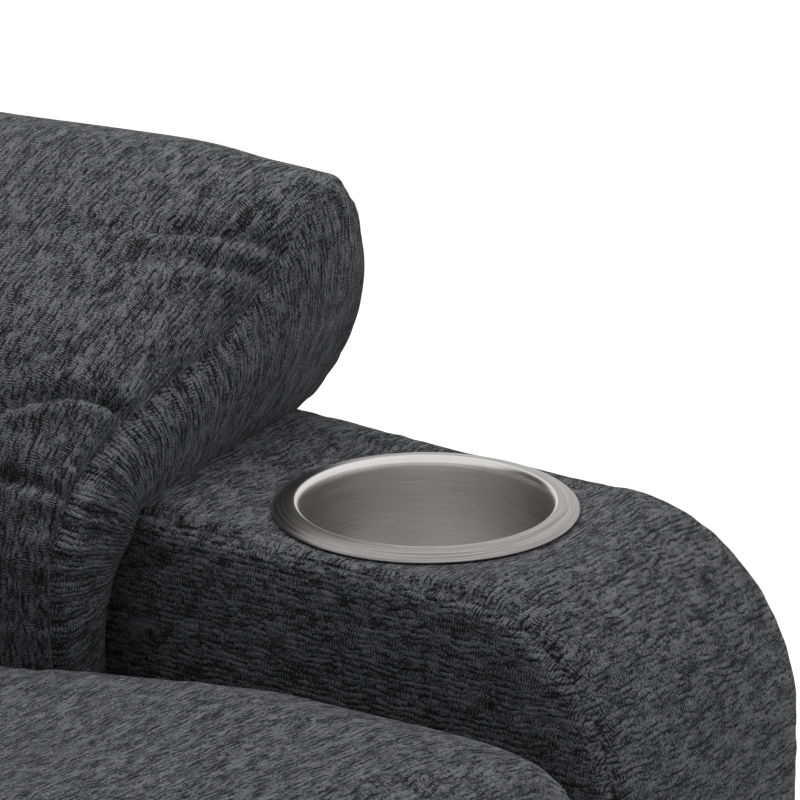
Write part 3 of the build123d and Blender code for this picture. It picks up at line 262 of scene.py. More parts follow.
chance = chance_of(row)
patch = streaks(0.013, maths(t, "DIVIDE", v, 0.0048), 3.0, 0.0)
slub = streaks(0.0052, maths(t, "MULTIPLY_ADD", chance, 31.0, maths(t, "DIVIDE", v, 0.004)), 2.0, 9.0)
dash = step_up(streaks(0.0062, maths(t, "MULTIPLY", chance_of(furrow_row), 97.0), 2.0, 4.0), 0.46, 0.6)
furrow = step_up(thread, 0.55, 0.0)
furrow = maths(t, "MULTIPLY", furrow, dash)
parting = step_up(streaks(0.0031, maths(t, "DIVIDE", v, 0.0019), 2.0, 17.0), 0.56, 0.74)
rib = maths(t, "DIVIDE", uv["X"], g_in["Rib"])
rib = maths(t, "MULTIPLY_ADD", chance, 7.0, rib)
rib = maths(t, "MULTIPLY_ADD", across, 0.45, rib)
rib = maths(t, "MULTIPLY_ADD", drift, 2.2, rib)
rib = maths(t, "MULTIPLY_ADD", maths(t, "PINGPONG", rib, 0.5), 2.0, -0.5)
rib = maths(t, "MULTIPLY", rib, step_up(streaks(0.007, maths(t, "DIVIDE", v, 0.005), 1.0, 23.0), 0.3, 0.68))
FLUFF_SCALE = 1150.0
fluff_settings = {"Vector": g_in["Cloth"], "Scale": FLUFF_SCALE, "Detail": 2.0}
fluff = add_node(t, "ShaderNodeTexNoise", fluff_settings).outputs[0]


def weighted(start, shares):
    """A sum of marks, each with its share."""
    for mark, mark_share in shares:
        start = maths(t, "MULTIPLY_ADD", mark, mark_share, start)
    return start


tone = maths(t, "MULTIPLY_ADD", patch, 1.3, -0.675)
tone = weighted(tone, [(slub, 1.3), (rib, 0.6), (fluff, 1.9), (furrow, -0.55), (parting, -0.38)])
CONTRAST, DARKEN = 1.2, -1.195
t.links.new(maths(t, "MULTIPLY_ADD", tone, CONTRAST, DARKEN), g_out["Tone"])
height = maths(t, "MULTIPLY", round_thread, 0.6)
height = weighted(height, [(patch, 0.9), (rib, 0.4), (fluff, 0.6), (furrow, -0.5), (parting, -0.4)])
t.links.new(height, g_out["Height"])

# %% Chenille material
chenille_cloth, ct, cloth_shader = new_material("charcoal_chenille", 0.92)
cloth_uv = add_node(ct, "ShaderNodeUVMap", uv_map="Cloth").outputs[0]
weave = place_group(ct, chenille, {"Cloth": cloth_uv})
tones = ramp(ct, weave["Tone"], [
    (0.0, (0.005, 0.005, 0.0052)),
    (0.27, (0.019, 0.019, 0.0195)),
    (0.5, (0.062, 0.062, 0.0645)),
    (0.75, (0.125, 0.125, 0.13)),
    (1.0, (0.22, 0.22, 0.228)),
])
ct.links.new(tones, cloth_shader.inputs["Base Color"])
bump = add_node(ct, "ShaderNodeBump", {"Height": weave["Height"], "Strength": 0.8, "Distance": 0.0009})
ct.links.new(bump.outputs[0], cloth_shader.inputs["Normal"])
cloth_shader.inputs["Specular IOR Level"].default_value = 0.12
cloth_shader.inputs["Sheen Weight"].default_value = 0.12
cloth_shader.inputs["Sheen Roughness"].default_value = 0.6
cloth_shader.inputs["Sheen Tint"].default_value = (0.75, 0.76, 0.8, 1)
print("chenille rows", ROW_PITCH / MM, "mm, ribs", RIB_PITCH / MM, "mm")

# %% [markdown]
# ## Mesh helpers
# Soft pieces are worked as arrays of points in millimetres. These helpers turn arrays into objects and back,
# apply modifiers into a plain mesh, and write the cloth coordinates.


# %% Mesh helpers
def new_piece(name, points, faces, material=None):
    """A smooth-shaded mesh object from points in millimetres."""
    mesh = bpy.data.meshes.new(name)
    mesh.from_pydata((np.asarray(points, float) * MM).tolist(), [], faces)
    mesh.shade_smooth()
    if material:
        mesh.materials.append(material)
    piece = bpy.data.objects.new(name, mesh)
    scene.collection.objects.link(piece)
    return piece


def grid_faces(rows, columns, start=0):
    """Quads over a grid of points that is stored row by row."""
    i = np.arange(rows - 1)[:, None] * columns + np.arange(columns - 1)[None, :] + start
    return np.stack([i, i + 1, i + columns + 1, i + columns], -1).reshape(-1, 4)


def points_of(piece):
    """Points of a piece in millimetres."""
    flat = np.empty(len(piece.data.vertices) * 3, np.float32)
    piece.data.vertices.foreach_get("co", flat)
    return flat.reshape(-1, 3).astype(float) / MM


def move_points(piece, points):
    """Writes points in millimetres back to a piece."""
    piece.data.vertices.foreach_set("co", (points * MM).astype(np.float32).ravel())
    piece.data.update()


def normals_of(piece):
    """Normals at the points of a piece."""
    flat = np.empty(len(piece.data.vertices) * 3, np.float32)
    piece.data.vertex_normals.foreach_get("vector", flat)
    return flat.reshape(-1, 3).astype(float)


def bake_modifiers(piece):
    """Replaces a piece's mesh by what its modifiers make of it."""
    shown = piece.evaluated_get(bpy.context.evaluated_depsgraph_get())
    mesh = bpy.data.meshes.new_from_object(shown)
    piece.modifiers.clear()
    old = piece.data
    piece.data = mesh
    bpy.data.meshes.remove(old)
    mesh.shade_smooth()


# %% Cloth coordinates and twins
def lay_cloth(piece, per_point, label="Cloth"):
    """Writes the cloth coordinates, given in millimetres at each point, as a UV map of the piece."""
    mesh = piece.data
    layer = mesh.uv_layers.get(label) or mesh.uv_layers.new(name=label)
    corner = np.empty(len(mesh.loops), np.int32)
    mesh.loops.foreach_get("vertex_index", corner)
    layer.data.foreach_set("uv", (per_point[corner] * MM).astype(np.float32).ravel())


def mirrored(piece, name):
    """The twin of a piece on the other side of the chair, with its faces turned outwards."""
    twin = bpy.data.objects.new(name, piece.data.copy())
    twin.data.name = name
    scene.collection.objects.link(twin)
    points = points_of(twin)
    points[:, 0] *= -1
    move_points(twin, points)
    twin.data.flip_normals()
    return twin


# %% Swell, grooves and steps
def waves(points, length, seed):
    """Smooth random swell of about one unit, from a few crossing sine waves with a fixed seed."""
    rng = np.random.default_rng(seed)
    total = np.zeros(len(points))
    for _ in range(7):
        direction = rng.normal(size=3)
        direction /= np.linalg.norm(direction)
        pace = 2 * np.pi / (length * rng.uniform(0.7, 1.4))
        total += np.sin(points @ direction * pace + rng.uniform(0, 2 * np.pi))
    return total / 2.6


def ease(value, low, high):
    """0 below low, 1 above high, smooth between."""
    share = np.clip((value - low) / (high - low), 0, 1)
    return share * share * (3 - 2 * share)


def groove(gap, width):
    """1 on a line, fading to 0 beside it."""
    return np.exp(-(gap / width) ** 2)


def beside(gap, reach, clear):
    """0 on a seam, strongest a little way off it, and fading with distance."""
    return np.exp(-gap / reach) * (1 - np.exp(-gap / clear))


# %% Dressing a piece
def cover_with(piece, material):
    """Gives a piece one material."""
    piece.data.materials.clear()
    piece.data.materials.append(material)


def dress(piece, body, replaces):
    """Puts a soft piece on its body in place of its CAD solid."""
    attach(piece, body)
    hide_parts(*replaces)


def upholster(piece, points, cloth, body, node):
    """Gives a cushion its last shape, lays its cloth, and puts it on its body in place of its CAD solid."""
    move_points(piece, points)
    cover_with(piece, chenille_cloth)
    lay_cloth(piece, cloth)
    dress(piece, body, [node])
    print(piece.name, len(points), "points")


# %% [markdown]
# ## Arm covers
# Each arm wears three panels: a band over the front, the nose and the top, and two flat sides. The seams sit
# on the arm's edges. They are plain and drawn in, and the cloth puckers along them. A box with a bevel would
# look hard, so each panel is a fine grid whose points the padding lifts and the seam pulls in.

# %% Arm path
FRONT_Y = -455.0
REAR_Y = 335.0
ARM_TOP = 530.0
ARM_BOTTOM = 45.0
NOSE = 70.0
REAR_NOSE = 14.0
ARM_IN = 280.0
ARM_OUT = 404.0
ARM_MID = (ARM_IN + ARM_OUT) / 2
ARM_HALF = (ARM_OUT - ARM_IN) / 2
CUP_Y = -335.0
FLANGE = 55.0
CROWN = 4.2
SEAM_WIDTH = 2.4
BAND_SEAM, SIDE_SEAM = 7.0, 6.0
BAND_PADDING, SIDE_PADDING = 9.0, 7.0


def arm_path(step):
    """Side outline of the arm: points, outward normals and run length, front bottom to rear bottom."""
    pieces = []
    z = np.arange(ARM_BOTTOM, ARM_TOP - NOSE, step)
    pieces.append(np.stack([np.full_like(z, FRONT_Y), z, np.full_like(z, -1), 0 * z], 1))
    a = np.linspace(0, np.pi / 2, int(NOSE * np.pi / 2 / step) + 1)[:-1]
    nose_y, nose_z = FRONT_Y + NOSE - NOSE * np.cos(a), ARM_TOP - NOSE + NOSE * np.sin(a)
    pieces.append(np.stack([nose_y, nose_z, -np.cos(a), np.sin(a)], 1))
    y = np.arange(FRONT_Y + NOSE, REAR_Y - REAR_NOSE, step)
    pieces.append(np.stack([y, np.full_like(y, ARM_TOP), 0 * y, np.ones_like(y)], 1))
    a = np.linspace(np.pi / 2, 0, 7)[:-1]
    rear_y, rear_z = REAR_Y - REAR_NOSE + REAR_NOSE * np.cos(a), ARM_TOP - REAR_NOSE + REAR_NOSE * np.sin(a)
    pieces.append(np.stack([rear_y, rear_z, np.cos(a), np.sin(a)], 1))
    z = np.append(np.arange(ARM_TOP - REAR_NOSE, ARM_BOTTOM, -step * 2), ARM_BOTTOM)
    pieces.append(np.stack([np.full_like(z, REAR_Y), z, np.ones_like(z), 0 * z], 1))
    line = np.concatenate(pieces)
    run = np.append(0, np.cumsum(np.hypot(*np.diff(line[:, :2], axis=0).T)))
    return line, run


def pucker(run, seed):
    """Small gathers along a seam."""
    rng = np.random.default_rng(seed)
    total = np.zeros_like(run)
    for length in (9.0, 13.0, 19.0, 31.0):
        total += np.sin(run / length * 2 * np.pi * rng.uniform(0.92, 1.08) + rng.uniform(0, 6.28))
    return total / 2.2


# %% Arm band
line, run = arm_path(2.5)
across = np.concatenate([[-1, -0.985, -0.965], np.linspace(-0.94, 0.94, 43), [0.965, 0.985, 1]])
S, W = np.meshgrid(run, across, indexing="ij")
Y, Z, NY, NZ = (np.repeat(line[:, [k]], len(across), 1) for k in range(4))
edge_gap = (1 - np.abs(W)) * ARM_HALF
crown = CROWN * (1 - np.abs(W) ** 6) - BAND_SEAM * groove(edge_gap, SEAM_WIDTH)
crown += 0.4 * pucker(S + 40 * (W > 0), seed=3) * beside(edge_gap, 8.0, 1.5)
X = ARM_MID + W * (ARM_HALF - 1.2)
spots = np.stack([X, Y, Z], -1).reshape(-1, 3)
crown += 0.8 * waves(spots, length=120, seed=5).reshape(crown.shape) * (1 - np.exp(-edge_gap / 12))
crown += 4.0 * ease(Y, -300, -120) * (NZ > 0.9) * ease(edge_gap, 0, 20)
cup_gap = np.hypot(X - ARM_MID, Y - CUP_Y)
on_top = NZ > 0.5
press = np.where(on_top, 1 - ease(cup_gap, FLANGE - 1, FLANGE + 26), 0)
crown = crown * (1 - press) - 0.5 * press
outer = np.stack([X, Y + NY * crown, Z + NZ * crown], -1).reshape(-1, 3)
faces = grid_faces(len(run), len(across))
middle = outer[faces].mean(1)
open_cup = np.hypot(middle[:, 0] - ARM_MID, middle[:, 1] - CUP_Y) < FLANGE - 5
open_cup &= middle[:, 2] > ARM_TOP - 20
left_band = new_piece("left_arm_band_cover", outer, faces[~open_cup].tolist(), chenille_cloth)
lay_cloth(left_band, np.stack([X + 400, S], -1).reshape(-1, 2))
bm = bmesh.new()
bm.from_mesh(left_band.data)
bmesh.ops.delete(bm, geom=[p for p in bm.verts if not p.link_faces], context="VERTS")
bm.normal_update()
bm.to_mesh(left_band.data)
bm.free()


def thicken(piece, padding):
    """Gives a panel its padding, inwards from its face."""
    shell = piece.modifiers.new("padding", "SOLIDIFY")
    shell.thickness = padding * MM
    shell.offset = -1
    bake_modifiers(piece)


thicken(left_band, BAND_PADDING)
print("arm band points", len(left_band.data.vertices))


# %% Arm sides
def arm_side(name, side_x, outwards, bulge, seed):
    """One flat side of the arm, drawn in at the seam and padded inside it."""
    a = np.linspace(0, np.pi / 2, 36)
    nose_y = FRONT_Y + NOSE - NOSE * np.cos(a)
    nose_z = ARM_TOP - NOSE + NOSE * np.sin(a)
    straight_y = np.arange(FRONT_Y + NOSE + 6, REAR_Y - 8, 6)
    y = np.concatenate([nose_y, straight_y, [REAR_Y - 5, REAR_Y - 2, REAR_Y]])
    top = np.concatenate([nose_z, np.full(len(y) - len(nose_z), ARM_TOP)])
    down = np.concatenate([[0, 1.2, 2.6, 4.5, 7, 10, 14, 19, 25, 32, 40], np.linspace(50, 485, 70)]) / 485
    Y, D = np.meshgrid(y, down, indexing="ij")
    T = np.repeat(top[:, None], len(down), 1)
    Z = T - (T - ARM_BOTTOM) * D
    corner_y, corner_z = FRONT_Y + NOSE, ARM_TOP - NOSE
    nose_gap = NOSE - np.hypot(np.minimum(Y - corner_y, 0), np.maximum(Z - corner_z, 0))
    gap = np.minimum(np.where((Y < corner_y) & (Z > corner_z), nose_gap, 1e9), ARM_TOP - Z)
    gap = np.minimum(gap, np.minimum(Y - FRONT_Y, REAR_Y - Y)).clip(0)
    run = np.where(Z < corner_z, Z, Y + 900)
    swell = -SIDE_SEAM * groove(gap, SEAM_WIDTH) + bulge * (1 - np.exp(-gap / 12))
    swell += 0.4 * pucker(run, seed) * beside(gap, 8, 1.5)
    spots = np.stack([0 * Y, Y, Z], -1).reshape(-1, 3)
    swell += 0.9 * waves(spots, length=150, seed=seed).reshape(swell.shape) * (1 - np.exp(-gap / 16))
    outline = np.stack([side_x + outwards * swell, Y, Z], -1).reshape(-1, 3)
    faces = grid_faces(len(y), len(down))
    if outwards < 0:
        faces = faces[:, ::-1]
    side = new_piece(name, outline, faces.tolist(), chenille_cloth)
    lay_cloth(side, np.stack([Y + 700, Z], -1).reshape(-1, 2))
    thicken(side, SIDE_PADDING)
    return side


left_inner = arm_side("left_arm_inner_cover", ARM_IN, outwards=-1, bulge=3.0, seed=21)
left_outer = arm_side("left_arm_outer_cover", ARM_OUT, outwards=1, bulge=3.5, seed=22)
# %% Arm twins and the switch opening
SWITCH_Y, SWITCH_Z = -300.0, 430.0
SWITCH_LONG, SWITCH_HIGH = 130.8, 42.8


def open_for_switch(piece):
    """Presses the right outer cover down round the switch plate and cuts the plate's opening."""
    points = points_of(piece)
    long_gap = np.abs(points[:, 1] - SWITCH_Y) - SWITCH_LONG / 2
    gap = np.maximum(long_gap, np.abs(points[:, 2] - SWITCH_Z) - SWITCH_HIGH / 2)
    proud = -points[:, 0] - (ARM_OUT - 1.5)
    points[:, 0] += np.where(proud > 0, proud * (1 - ease(gap, 3, 26)), 0)
    move_points(piece, points)
    ends = (SWITCH_Y - SWITCH_LONG / 2, SWITCH_Y + SWITCH_LONG / 2)
    edges = (SWITCH_Z - SWITCH_HIGH / 2, SWITCH_Z + SWITCH_HIGH / 2)
    corners = [(x, y, z) for x in (-450, -350) for y in ends for z in edges]
    sides = [(0, 1, 3, 2), (4, 6, 7, 5), (0, 4, 5, 1), (2, 3, 7, 6), (0, 2, 6, 4), (1, 5, 7, 3)]
    cutter = new_piece("switch_cutter", corners, sides)
    cut = piece.modifiers.new("opening", "BOOLEAN")
    cut.operation = "DIFFERENCE"
    cut.solver = "EXACT"
    cut.object = cutter
    bake_modifiers(piece)
    bpy.data.objects.remove(cutter)
    cover_with(piece, chenille_cloth)


ARM_PANELS = {"arm_band": left_band, "arm_inner_panel": left_inner, "arm_outer_panel": left_outer}
for node, piece in ARM_PANELS.items():
    twin = mirrored(piece, piece.name.replace("left", "right"))
    if node == "arm_outer_panel":
        open_for_switch(twin)
    dress(piece, "base", ["left_" + node])
    dress(twin, "base", ["right_" + node])
print("arm covers done")

# %% [markdown]
# ## Stuffed pieces
# Cushions are made as cloth: a closed start form is remeshed into even squares, blown up a little by pressure
# in a short cloth simulation, and held back where it would move too far. Seams and creases are pressed in
# afterwards.


# %% Stuffing
def even_squares(piece, size):
    """Remeshes a closed form into even squares."""
    remesh = piece.modifiers.new("squares", "REMESH")
    remesh.mode = "VOXEL"
    remesh.voxel_size = size * MM
    bake_modifiers(piece)


def soften(piece, rounds, share=0.5):
    """Rounds a form off with a few rounds of smoothing."""
    smooth = piece.modifiers.new("soften", "SMOOTH")
    smooth.factor = share
    smooth.iterations = rounds
    bake_modifiers(piece)


def stuff(piece, held, cap, pressure=4.0, frames=12):
    """Blows a closed cloth up under pressure, with some points held, and limits how far any point moves."""
    began = time.time()
    start = points_of(piece)
    group = piece.vertex_groups.new(name="held")
    group.add(np.nonzero(held)[0].tolist(), 1.0, "REPLACE")
    cloth = piece.modifiers.new("stuffing", "CLOTH")
    settings = cloth.settings
    settings.vertex_group_mass = "held"
    settings.quality = 4
    settings.use_pressure = True
    settings.uniform_pressure_force = pressure
    settings.effector_weights.gravity = 0.0
    cloth.point_cache.frame_start = 1
    cloth.point_cache.frame_end = frames
    for number in range(1, frames + 1):
        scene.frame_set(number)
    shown = piece.evaluated_get(bpy.context.evaluated_depsgraph_get())
    flat = np.empty(len(start) * 3, np.float32)
    shown.data.vertices.foreach_get("co", flat)
    piece.modifiers.clear()
    piece.vertex_groups.clear()
    scene.frame_set(1)
    shift = flat.reshape(-1, 3) / MM - start
    outward = normals_of(piece)
    shift -= outward * np.minimum((shift * outward).sum(1) + 1.0, 0)[:, None]
    far = np.linalg.norm(shift, axis=1)
    shift *= (np.minimum(far, cap) / np.maximum(far, 1e-6))[:, None]
    move_points(piece, start + shift)
    swelled = round(min(far.max(), cap), 1)
    print(piece.name, "swelled by up to", swelled, "mm in", round(time.time() - began), "s")


def divide(piece):
    """One round of subdivision."""
    finer = piece.modifiers.new("finer", "SUBSURF")
    finer.levels = 1
    finer.render_levels = 1
    bake_modifiers(piece)


# %% Start forms
def rounded_block(low, high, powers, squares=40):
    """A block with full round sides: a superellipsoid between two corners."""
    low, high = np.asarray(low, float), np.asarray(high, float)
    u = np.linspace(-1, 1, squares)
    quads, points = [], []
    for axis in range(3):
        for sign in (-1, 1):
            A, B = np.meshgrid(u, u, indexing="ij")
            cube = np.empty((squares, squares, 3))
            cube[..., axis] = sign
            cube[..., (axis + 1) % 3] = A
            cube[..., (axis + 2) % 3] = B
            face = grid_faces(squares, squares, len(points) * squares * squares)
            quads.append(face if sign > 0 else face[:, ::-1])
            points.append(cube.reshape(-1, 3))
    cube = np.concatenate(points)
    radius = (np.abs(cube) ** np.asarray(powers)).sum(1)
    low_r, high_r = np.zeros(len(cube)), np.ones(len(cube))
    for _ in range(30):
        mid = (low_r + high_r) / 2
        inside = (np.abs(cube * mid[:, None]) ** np.asarray(powers)).sum(1) < 1
        low_r = np.where(inside, mid, low_r)
        high_r = np.where(inside, high_r, mid)
    shape = cube * low_r[:, None]
    return (low + high) / 2 + shape * (high - low) / 2, np.concatenate(quads)


def joined_blocks(name, blocks):
    """One object from several closed blocks, to be fused by the remesh."""
    points, faces = [], []
    for low, high, powers in blocks:
        p, f = rounded_block(low, high, powers)
        faces += (f + sum(len(x) for x in points)).tolist()
        points.append(p)
    return new_piece(name, np.concatenate(points), faces)


# %% [markdown]
# ## Arm pillows
# A thick saddle pad lies on the rear of each arm: high outside, sloping inwards, hanging down inside. Its
# front end is boxed with a strip, and hangs over the arm a little. Three lines across the arm describe it: the
# full section, the seam round its front end, and the line where its front meets the arm. Grids spun between
# them keep the cloth coordinates exact, which a remesh would lose. They are welded and stuffed as cloth.

# %% Pillow lines
FULL_LINE = np.array([
    (279, 472), (271, 457), (257, 452), (243, 459), (234, 475), (230, 500), (231, 525), (238, 547), (252, 568),
    (274, 590), (302, 608), (335, 625), (362, 635), (383, 637), (399, 630), (407, 611), (410, 584), (408, 556),
    (402.5, 534)], float)
SEAM_LINE = np.array([
    (279, -228, 472), (273, -232, 464), (261, -236, 459), (249, -238, 464), (240, -239, 478), (237, -240, 501),
    (235, -241, 525), (241, -242, 540), (252, -243, 552), (270, -244, 563), (296, -246, 572), (325, -247, 580),
    (348, -249, 594), (370, -251, 612), (391, -252, 625), (404, -251, 616), (408, -250, 592), (406, -242, 562),
    (402.5, -231, 534)], float)
REST_LINE = np.array([
    (279, -228, 472), (279, -228, 478), (279, -229, 483), (279, -230, 489), (279, -232, 496), (279, -236, 505),
    (279, -241, 514), (279, -245, 522), (280, -247, 529), (284, -246, 531), (300, -244, 531), (322, -241, 531),
    (342, -239, 531), (362, -236, 531), (378, -234, 531), (388, -233, 532), (394, -232, 532), (399, -231, 533),
    (402.5, -231, 534)], float)
PILLOW_SHIFT = -8.0
PILLOW_TURN = 45.0 + PILLOW_SHIFT
SEAM_LINE[:, 1] += PILLOW_SHIFT
REST_LINE[:, 1] += PILLOW_SHIFT


def smooth_line(points, count):
    """A smooth line through control points, sampled evenly by control number."""
    points = np.asarray(points, float)
    padded = np.vstack([2 * points[0] - points[1], points, 2 * points[-1] - points[-2]])
    place = np.linspace(0, len(points) - 1, count)
    k = np.minimum(place.astype(int), len(points) - 2)
    f = (place - k)[:, None]
    a, b, c, d = (padded[k + i] for i in range(4))
    square, cube = 2 * a - 5 * b + 4 * c - d, 3 * b - a - 3 * c + d
    return 0.5 * (2 * b + (c - a) * f + square * f ** 2 + cube * f ** 3)


# %% Arm pillows
COLUMNS = 140
full = smooth_line(FULL_LINE, COLUMNS)
seam = smooth_line(SEAM_LINE, COLUMNS)
rest = smooth_line(REST_LINE, COLUMNS)
rest[:, 2] = np.where(rest[:, 0] > 283, np.maximum(rest[:, 2], 531), rest[:, 2])


def run_of(line):
    """Run length along a line of points."""
    return np.append(0, np.cumsum(np.linalg.norm(np.diff(line, axis=0), axis=1)))


around = run_of(full)
seam_run = run_of(seam)
strip = np.linalg.norm(seam - rest, axis=1)
front_cap, cap_cloth, cap_shape = [], [], []
for q in np.linspace(1, 0, 15):
    row = (1 - q) * seam + q * rest
    row[:, 1] -= (2.0 + 0.13 * strip) * np.sin(np.pi * q ** 0.8) * np.minimum(strip / 12, 1)
    front_cap.append(row)
    cap_cloth.append(np.stack([1700 - q * strip * 1.08, seam_run], -1))
    cap_shape.append(np.stack([around, -q * strip], -1))

# %% Pillow body
ROWS = 64
share = np.linspace(0, np.pi, ROWS)
share = 0.5 - 0.5 * np.cos(share) * (1 - 0.16 * np.sin(share) ** 2)
body_rows, under_rows = [], []
for k in share:
    y = seam[:, 1] + (PILLOW_TURN - 2 * seam[:, 1]) * k
    gap = np.minimum(y - seam[:, 1], PILLOW_TURN - seam[:, 1] - y)
    fill = np.sqrt(1 - (1 - np.clip(gap / 70, 0, 1)) ** 2)[:, None]
    section = seam[:, [0, 2]] * (1 - fill) + full * fill
    fall = 9.0 * ease(y, -230, -105) * ease(gap, 0, 70) * ease(section[:, 1], 570, 615)
    body_rows.append(np.stack([section[:, 0], y, section[:, 1] - fall], -1))
    under_y = rest[:, 1] + (PILLOW_TURN - 2 * rest[:, 1]) * k
    under_rows.append(np.stack([rest[:, 0], under_y, rest[:, 2]], -1))
lengths = np.linalg.norm(np.diff(np.array(body_rows), axis=0), axis=2)
down_run = np.concatenate([np.zeros((1, COLUMNS)), np.cumsum(lengths, axis=0)])
body_cloth = [np.stack([around, row], -1) for row in down_run - down_run[ROWS // 2]]
body_shape = [np.stack([around, np.minimum(row, down_run[-1] - row)], -1) for row in down_run]
under_cloth = [np.stack([around, row[:, 1]], -1) for row in under_rows]
under_shape = [np.stack([around, 0 * around + 30], -1) for row in under_rows]


# %% Pillow mesh
def turned_back(row):
    """The same row at the rear end of the pillow."""
    row = row.copy()
    row[:, 1] = PILLOW_TURN - row[:, 1]
    return row


rear_cap = [turned_back(row) for row in reversed(front_cap)]
grids = [front_cap, body_rows, rear_cap, under_rows]
faces, start = [], 0
for rows in grids:
    made = grid_faces(len(rows), COLUMNS, start)
    faces.append(made if rows is not under_rows else made[:, ::-1])
    start += len(rows) * COLUMNS
all_points = np.concatenate([np.concatenate(rows) for rows in grids])
left_pillow = new_piece("left_arm_pillow_cover", all_points, np.concatenate(faces).tolist(), chenille_cloth)
lay_cloth(left_pillow, np.concatenate(cap_cloth + body_cloth + cap_cloth[::-1] + under_cloth))
lay_cloth(left_pillow, np.concatenate(cap_shape + body_shape + cap_shape[::-1] + under_shape), "Shape")


# %% Pillow stuffing
def weld(piece, gap):
    """Merges doubled points, drops empty faces and turns all faces outwards."""
    bm = bmesh.new()
    bm.from_mesh(piece.data)
    bmesh.ops.remove_doubles(bm, verts=bm.verts, dist=gap * MM)
    bmesh.ops.dissolve_degenerate(bm, dist=1e-6, edges=bm.edges)
    bmesh.ops.recalc_face_normals(bm, faces=bm.faces)
    bm.to_mesh(piece.data)
    bm.free()
    piece.data.shade_smooth()


def cloth_of(piece, label):
    """The values of a UV map at each point, in millimetres."""
    mesh = piece.data
    corner = np.empty(len(mesh.loops), np.int32)
    mesh.loops.foreach_get("vertex_index", corner)
    flat = np.empty(len(mesh.loops) * 2, np.float32)
    mesh.uv_layers[label].data.foreach_get("uv", flat)
    per_point = np.zeros((len(mesh.vertices), 2))
    per_point[corner] = flat.reshape(-1, 2) / MM
    return per_point


def keep_off_arm(points):
    """Keeps a saddle off the arm: points inside the arm go to its nearest face."""
    inside = (points[:, 0] > ARM_IN - 2) & (points[:, 2] < ARM_TOP + 1)
    up = ARM_TOP + 1 - points[:, 2]
    aside = points[:, 0] - (ARM_IN - 2)
    points[inside & (up <= aside), 2] = ARM_TOP + 1
    points[inside & (up > aside), 0] = ARM_IN - 2


weld(left_pillow, 0.15)
points = points_of(left_pillow)
resting = (points[:, 2] < ARM_TOP + 2.5) & (points[:, 0] > 278.5)
stuff(left_pillow, resting | (np.abs(cloth_of(left_pillow, "Shape")[:, 1]) < 2), cap=4)
points = points_of(left_pillow)
keep_off_arm(points)
move_points(left_pillow, points)
divide(left_pillow)

# %% Pillow seams and creases
CREASES = [(311, 4.2, 90, -0.84), (303, 3.4, 60, -1.1), (206, 5.0, 90, -0.9), (150, 3.0, 60, -0.3)]
CREST_RUN = 325.0
points = points_of(left_pillow)
normals = normals_of(left_pillow)
place_round, behind = cloth_of(left_pillow, "Shape").T
near = np.abs(behind)
dent = -2.2 * groove(near, 2.2) * (1 - 0.8 * groove(place_round - CREST_RUN, 45))
dent += 0.9 * pucker(place_round, seed=8) * beside(near, 15, 3)
for run_at, depth, reach, drift in CREASES:
    fade = ease(behind, -3, 6) * (1 - ease(behind, 0.3 * reach, reach))
    off = place_round - (run_at + drift * behind + 2.5 * np.sin(behind / 17))
    dent -= depth * groove(off, 2.6) * fade
    dent += 0.35 * depth * groove(off + 8, 6) * fade
    dent += 0.15 * depth * groove(off - 11, 8) * fade
dent += 1.3 * waves(points, length=95, seed=14) * ease(near, 4, 40)
free = np.clip(ease(points[:, 2] - ARM_TOP, 1, 14) + ease(ARM_IN - points[:, 0], 4, 16), 0, 1)
points += normals * (dent * free)[:, None]
keep_off_arm(points)
move_points(left_pillow, points)
left_pillow.data.uv_layers.remove(left_pillow.data.uv_layers["Shape"])
right_pillow = mirrored(left_pillow, "right_arm_pillow_cover")
dress(left_pillow, "base", ["left_arm_pillow"])
dress(right_pillow, "base", ["right_arm_pillow"])
print("pillow points", len(points), "section run", round(around[-1]), "mm")


# %% [markdown]
# ## Seat
# The seat is one deep cushion between the arms, crowned, a little higher at its front edge and full at its
# sides. A full round block is its start form, with a thin tail that runs back under the back cushion and
# closes the gap there. Both are fused by a remesh, stuffed as cloth and kept clear of the arms.


# %% Seat helpers
def wrap_cloth(along, across, depth, half_along, half_across, edge, middle, roundness=10.0):
    """Cloth coordinates over a block: flat on its face, and folded over its edges on to its sides."""
    fall = roundness * np.log1p(np.exp(np.clip((edge - depth) / roundness, -30, 30)))
    side = ease(np.abs(along) / half_along - np.abs(across - middle) / half_across, -0.06, 0.06)
    u = along + np.sign(along) * fall * side
    v = across + np.sign(across - middle) * fall * (1 - side)
    return np.stack([u, v], -1)


def copy_of_node(name, node):
    """A welded copy of a CAD node as a new piece."""
    bm = bmesh.new()
    bm.from_mesh(NODES[node].data)
    bmesh.ops.remove_doubles(bm, verts=bm.verts, dist=1e-5)
    mesh = bpy.data.meshes.new(name)
    bm.to_mesh(mesh)
    bm.free()
    copy = bpy.data.objects.new(name, mesh)
    scene.collection.objects.link(copy)
    return copy


# %% Seat cushion
SEAT_FLOOR = 350.5
SEAT_SIDE = 276.5
SEAT_SEAM = 452.0
REAR_START, REAR_SQUEEZE = 60.0, 0.72
TAIL_START, TAIL_LENGTH, TAIL_FLOOR = 100.0, 84.0, 396.0
SEAT_BLOCK = ((-275, -468, 336), (275, 126, 494), (16, 22, 3.6))
SEAT_TAIL = ((-262, 40, 396), (262, 184, 448), (30, 6, 6))
seat = joined_blocks("seat_cover", [SEAT_BLOCK, SEAT_TAIL])
points = points_of(seat)
on_tail = np.arange(len(points)) >= len(points) // 2
tilt = 0.16 * np.clip(-310 - points[:, 1], -120, 25) * ease(points[:, 2], 400, 480)
taper = np.clip((points[:, 1] - TAIL_START) / TAIL_LENGTH, 0, 1) * (10 - 0.73 * (points[:, 2] - TAIL_FLOOR))
points[:, 2] += np.where(on_tail, taper, tilt)
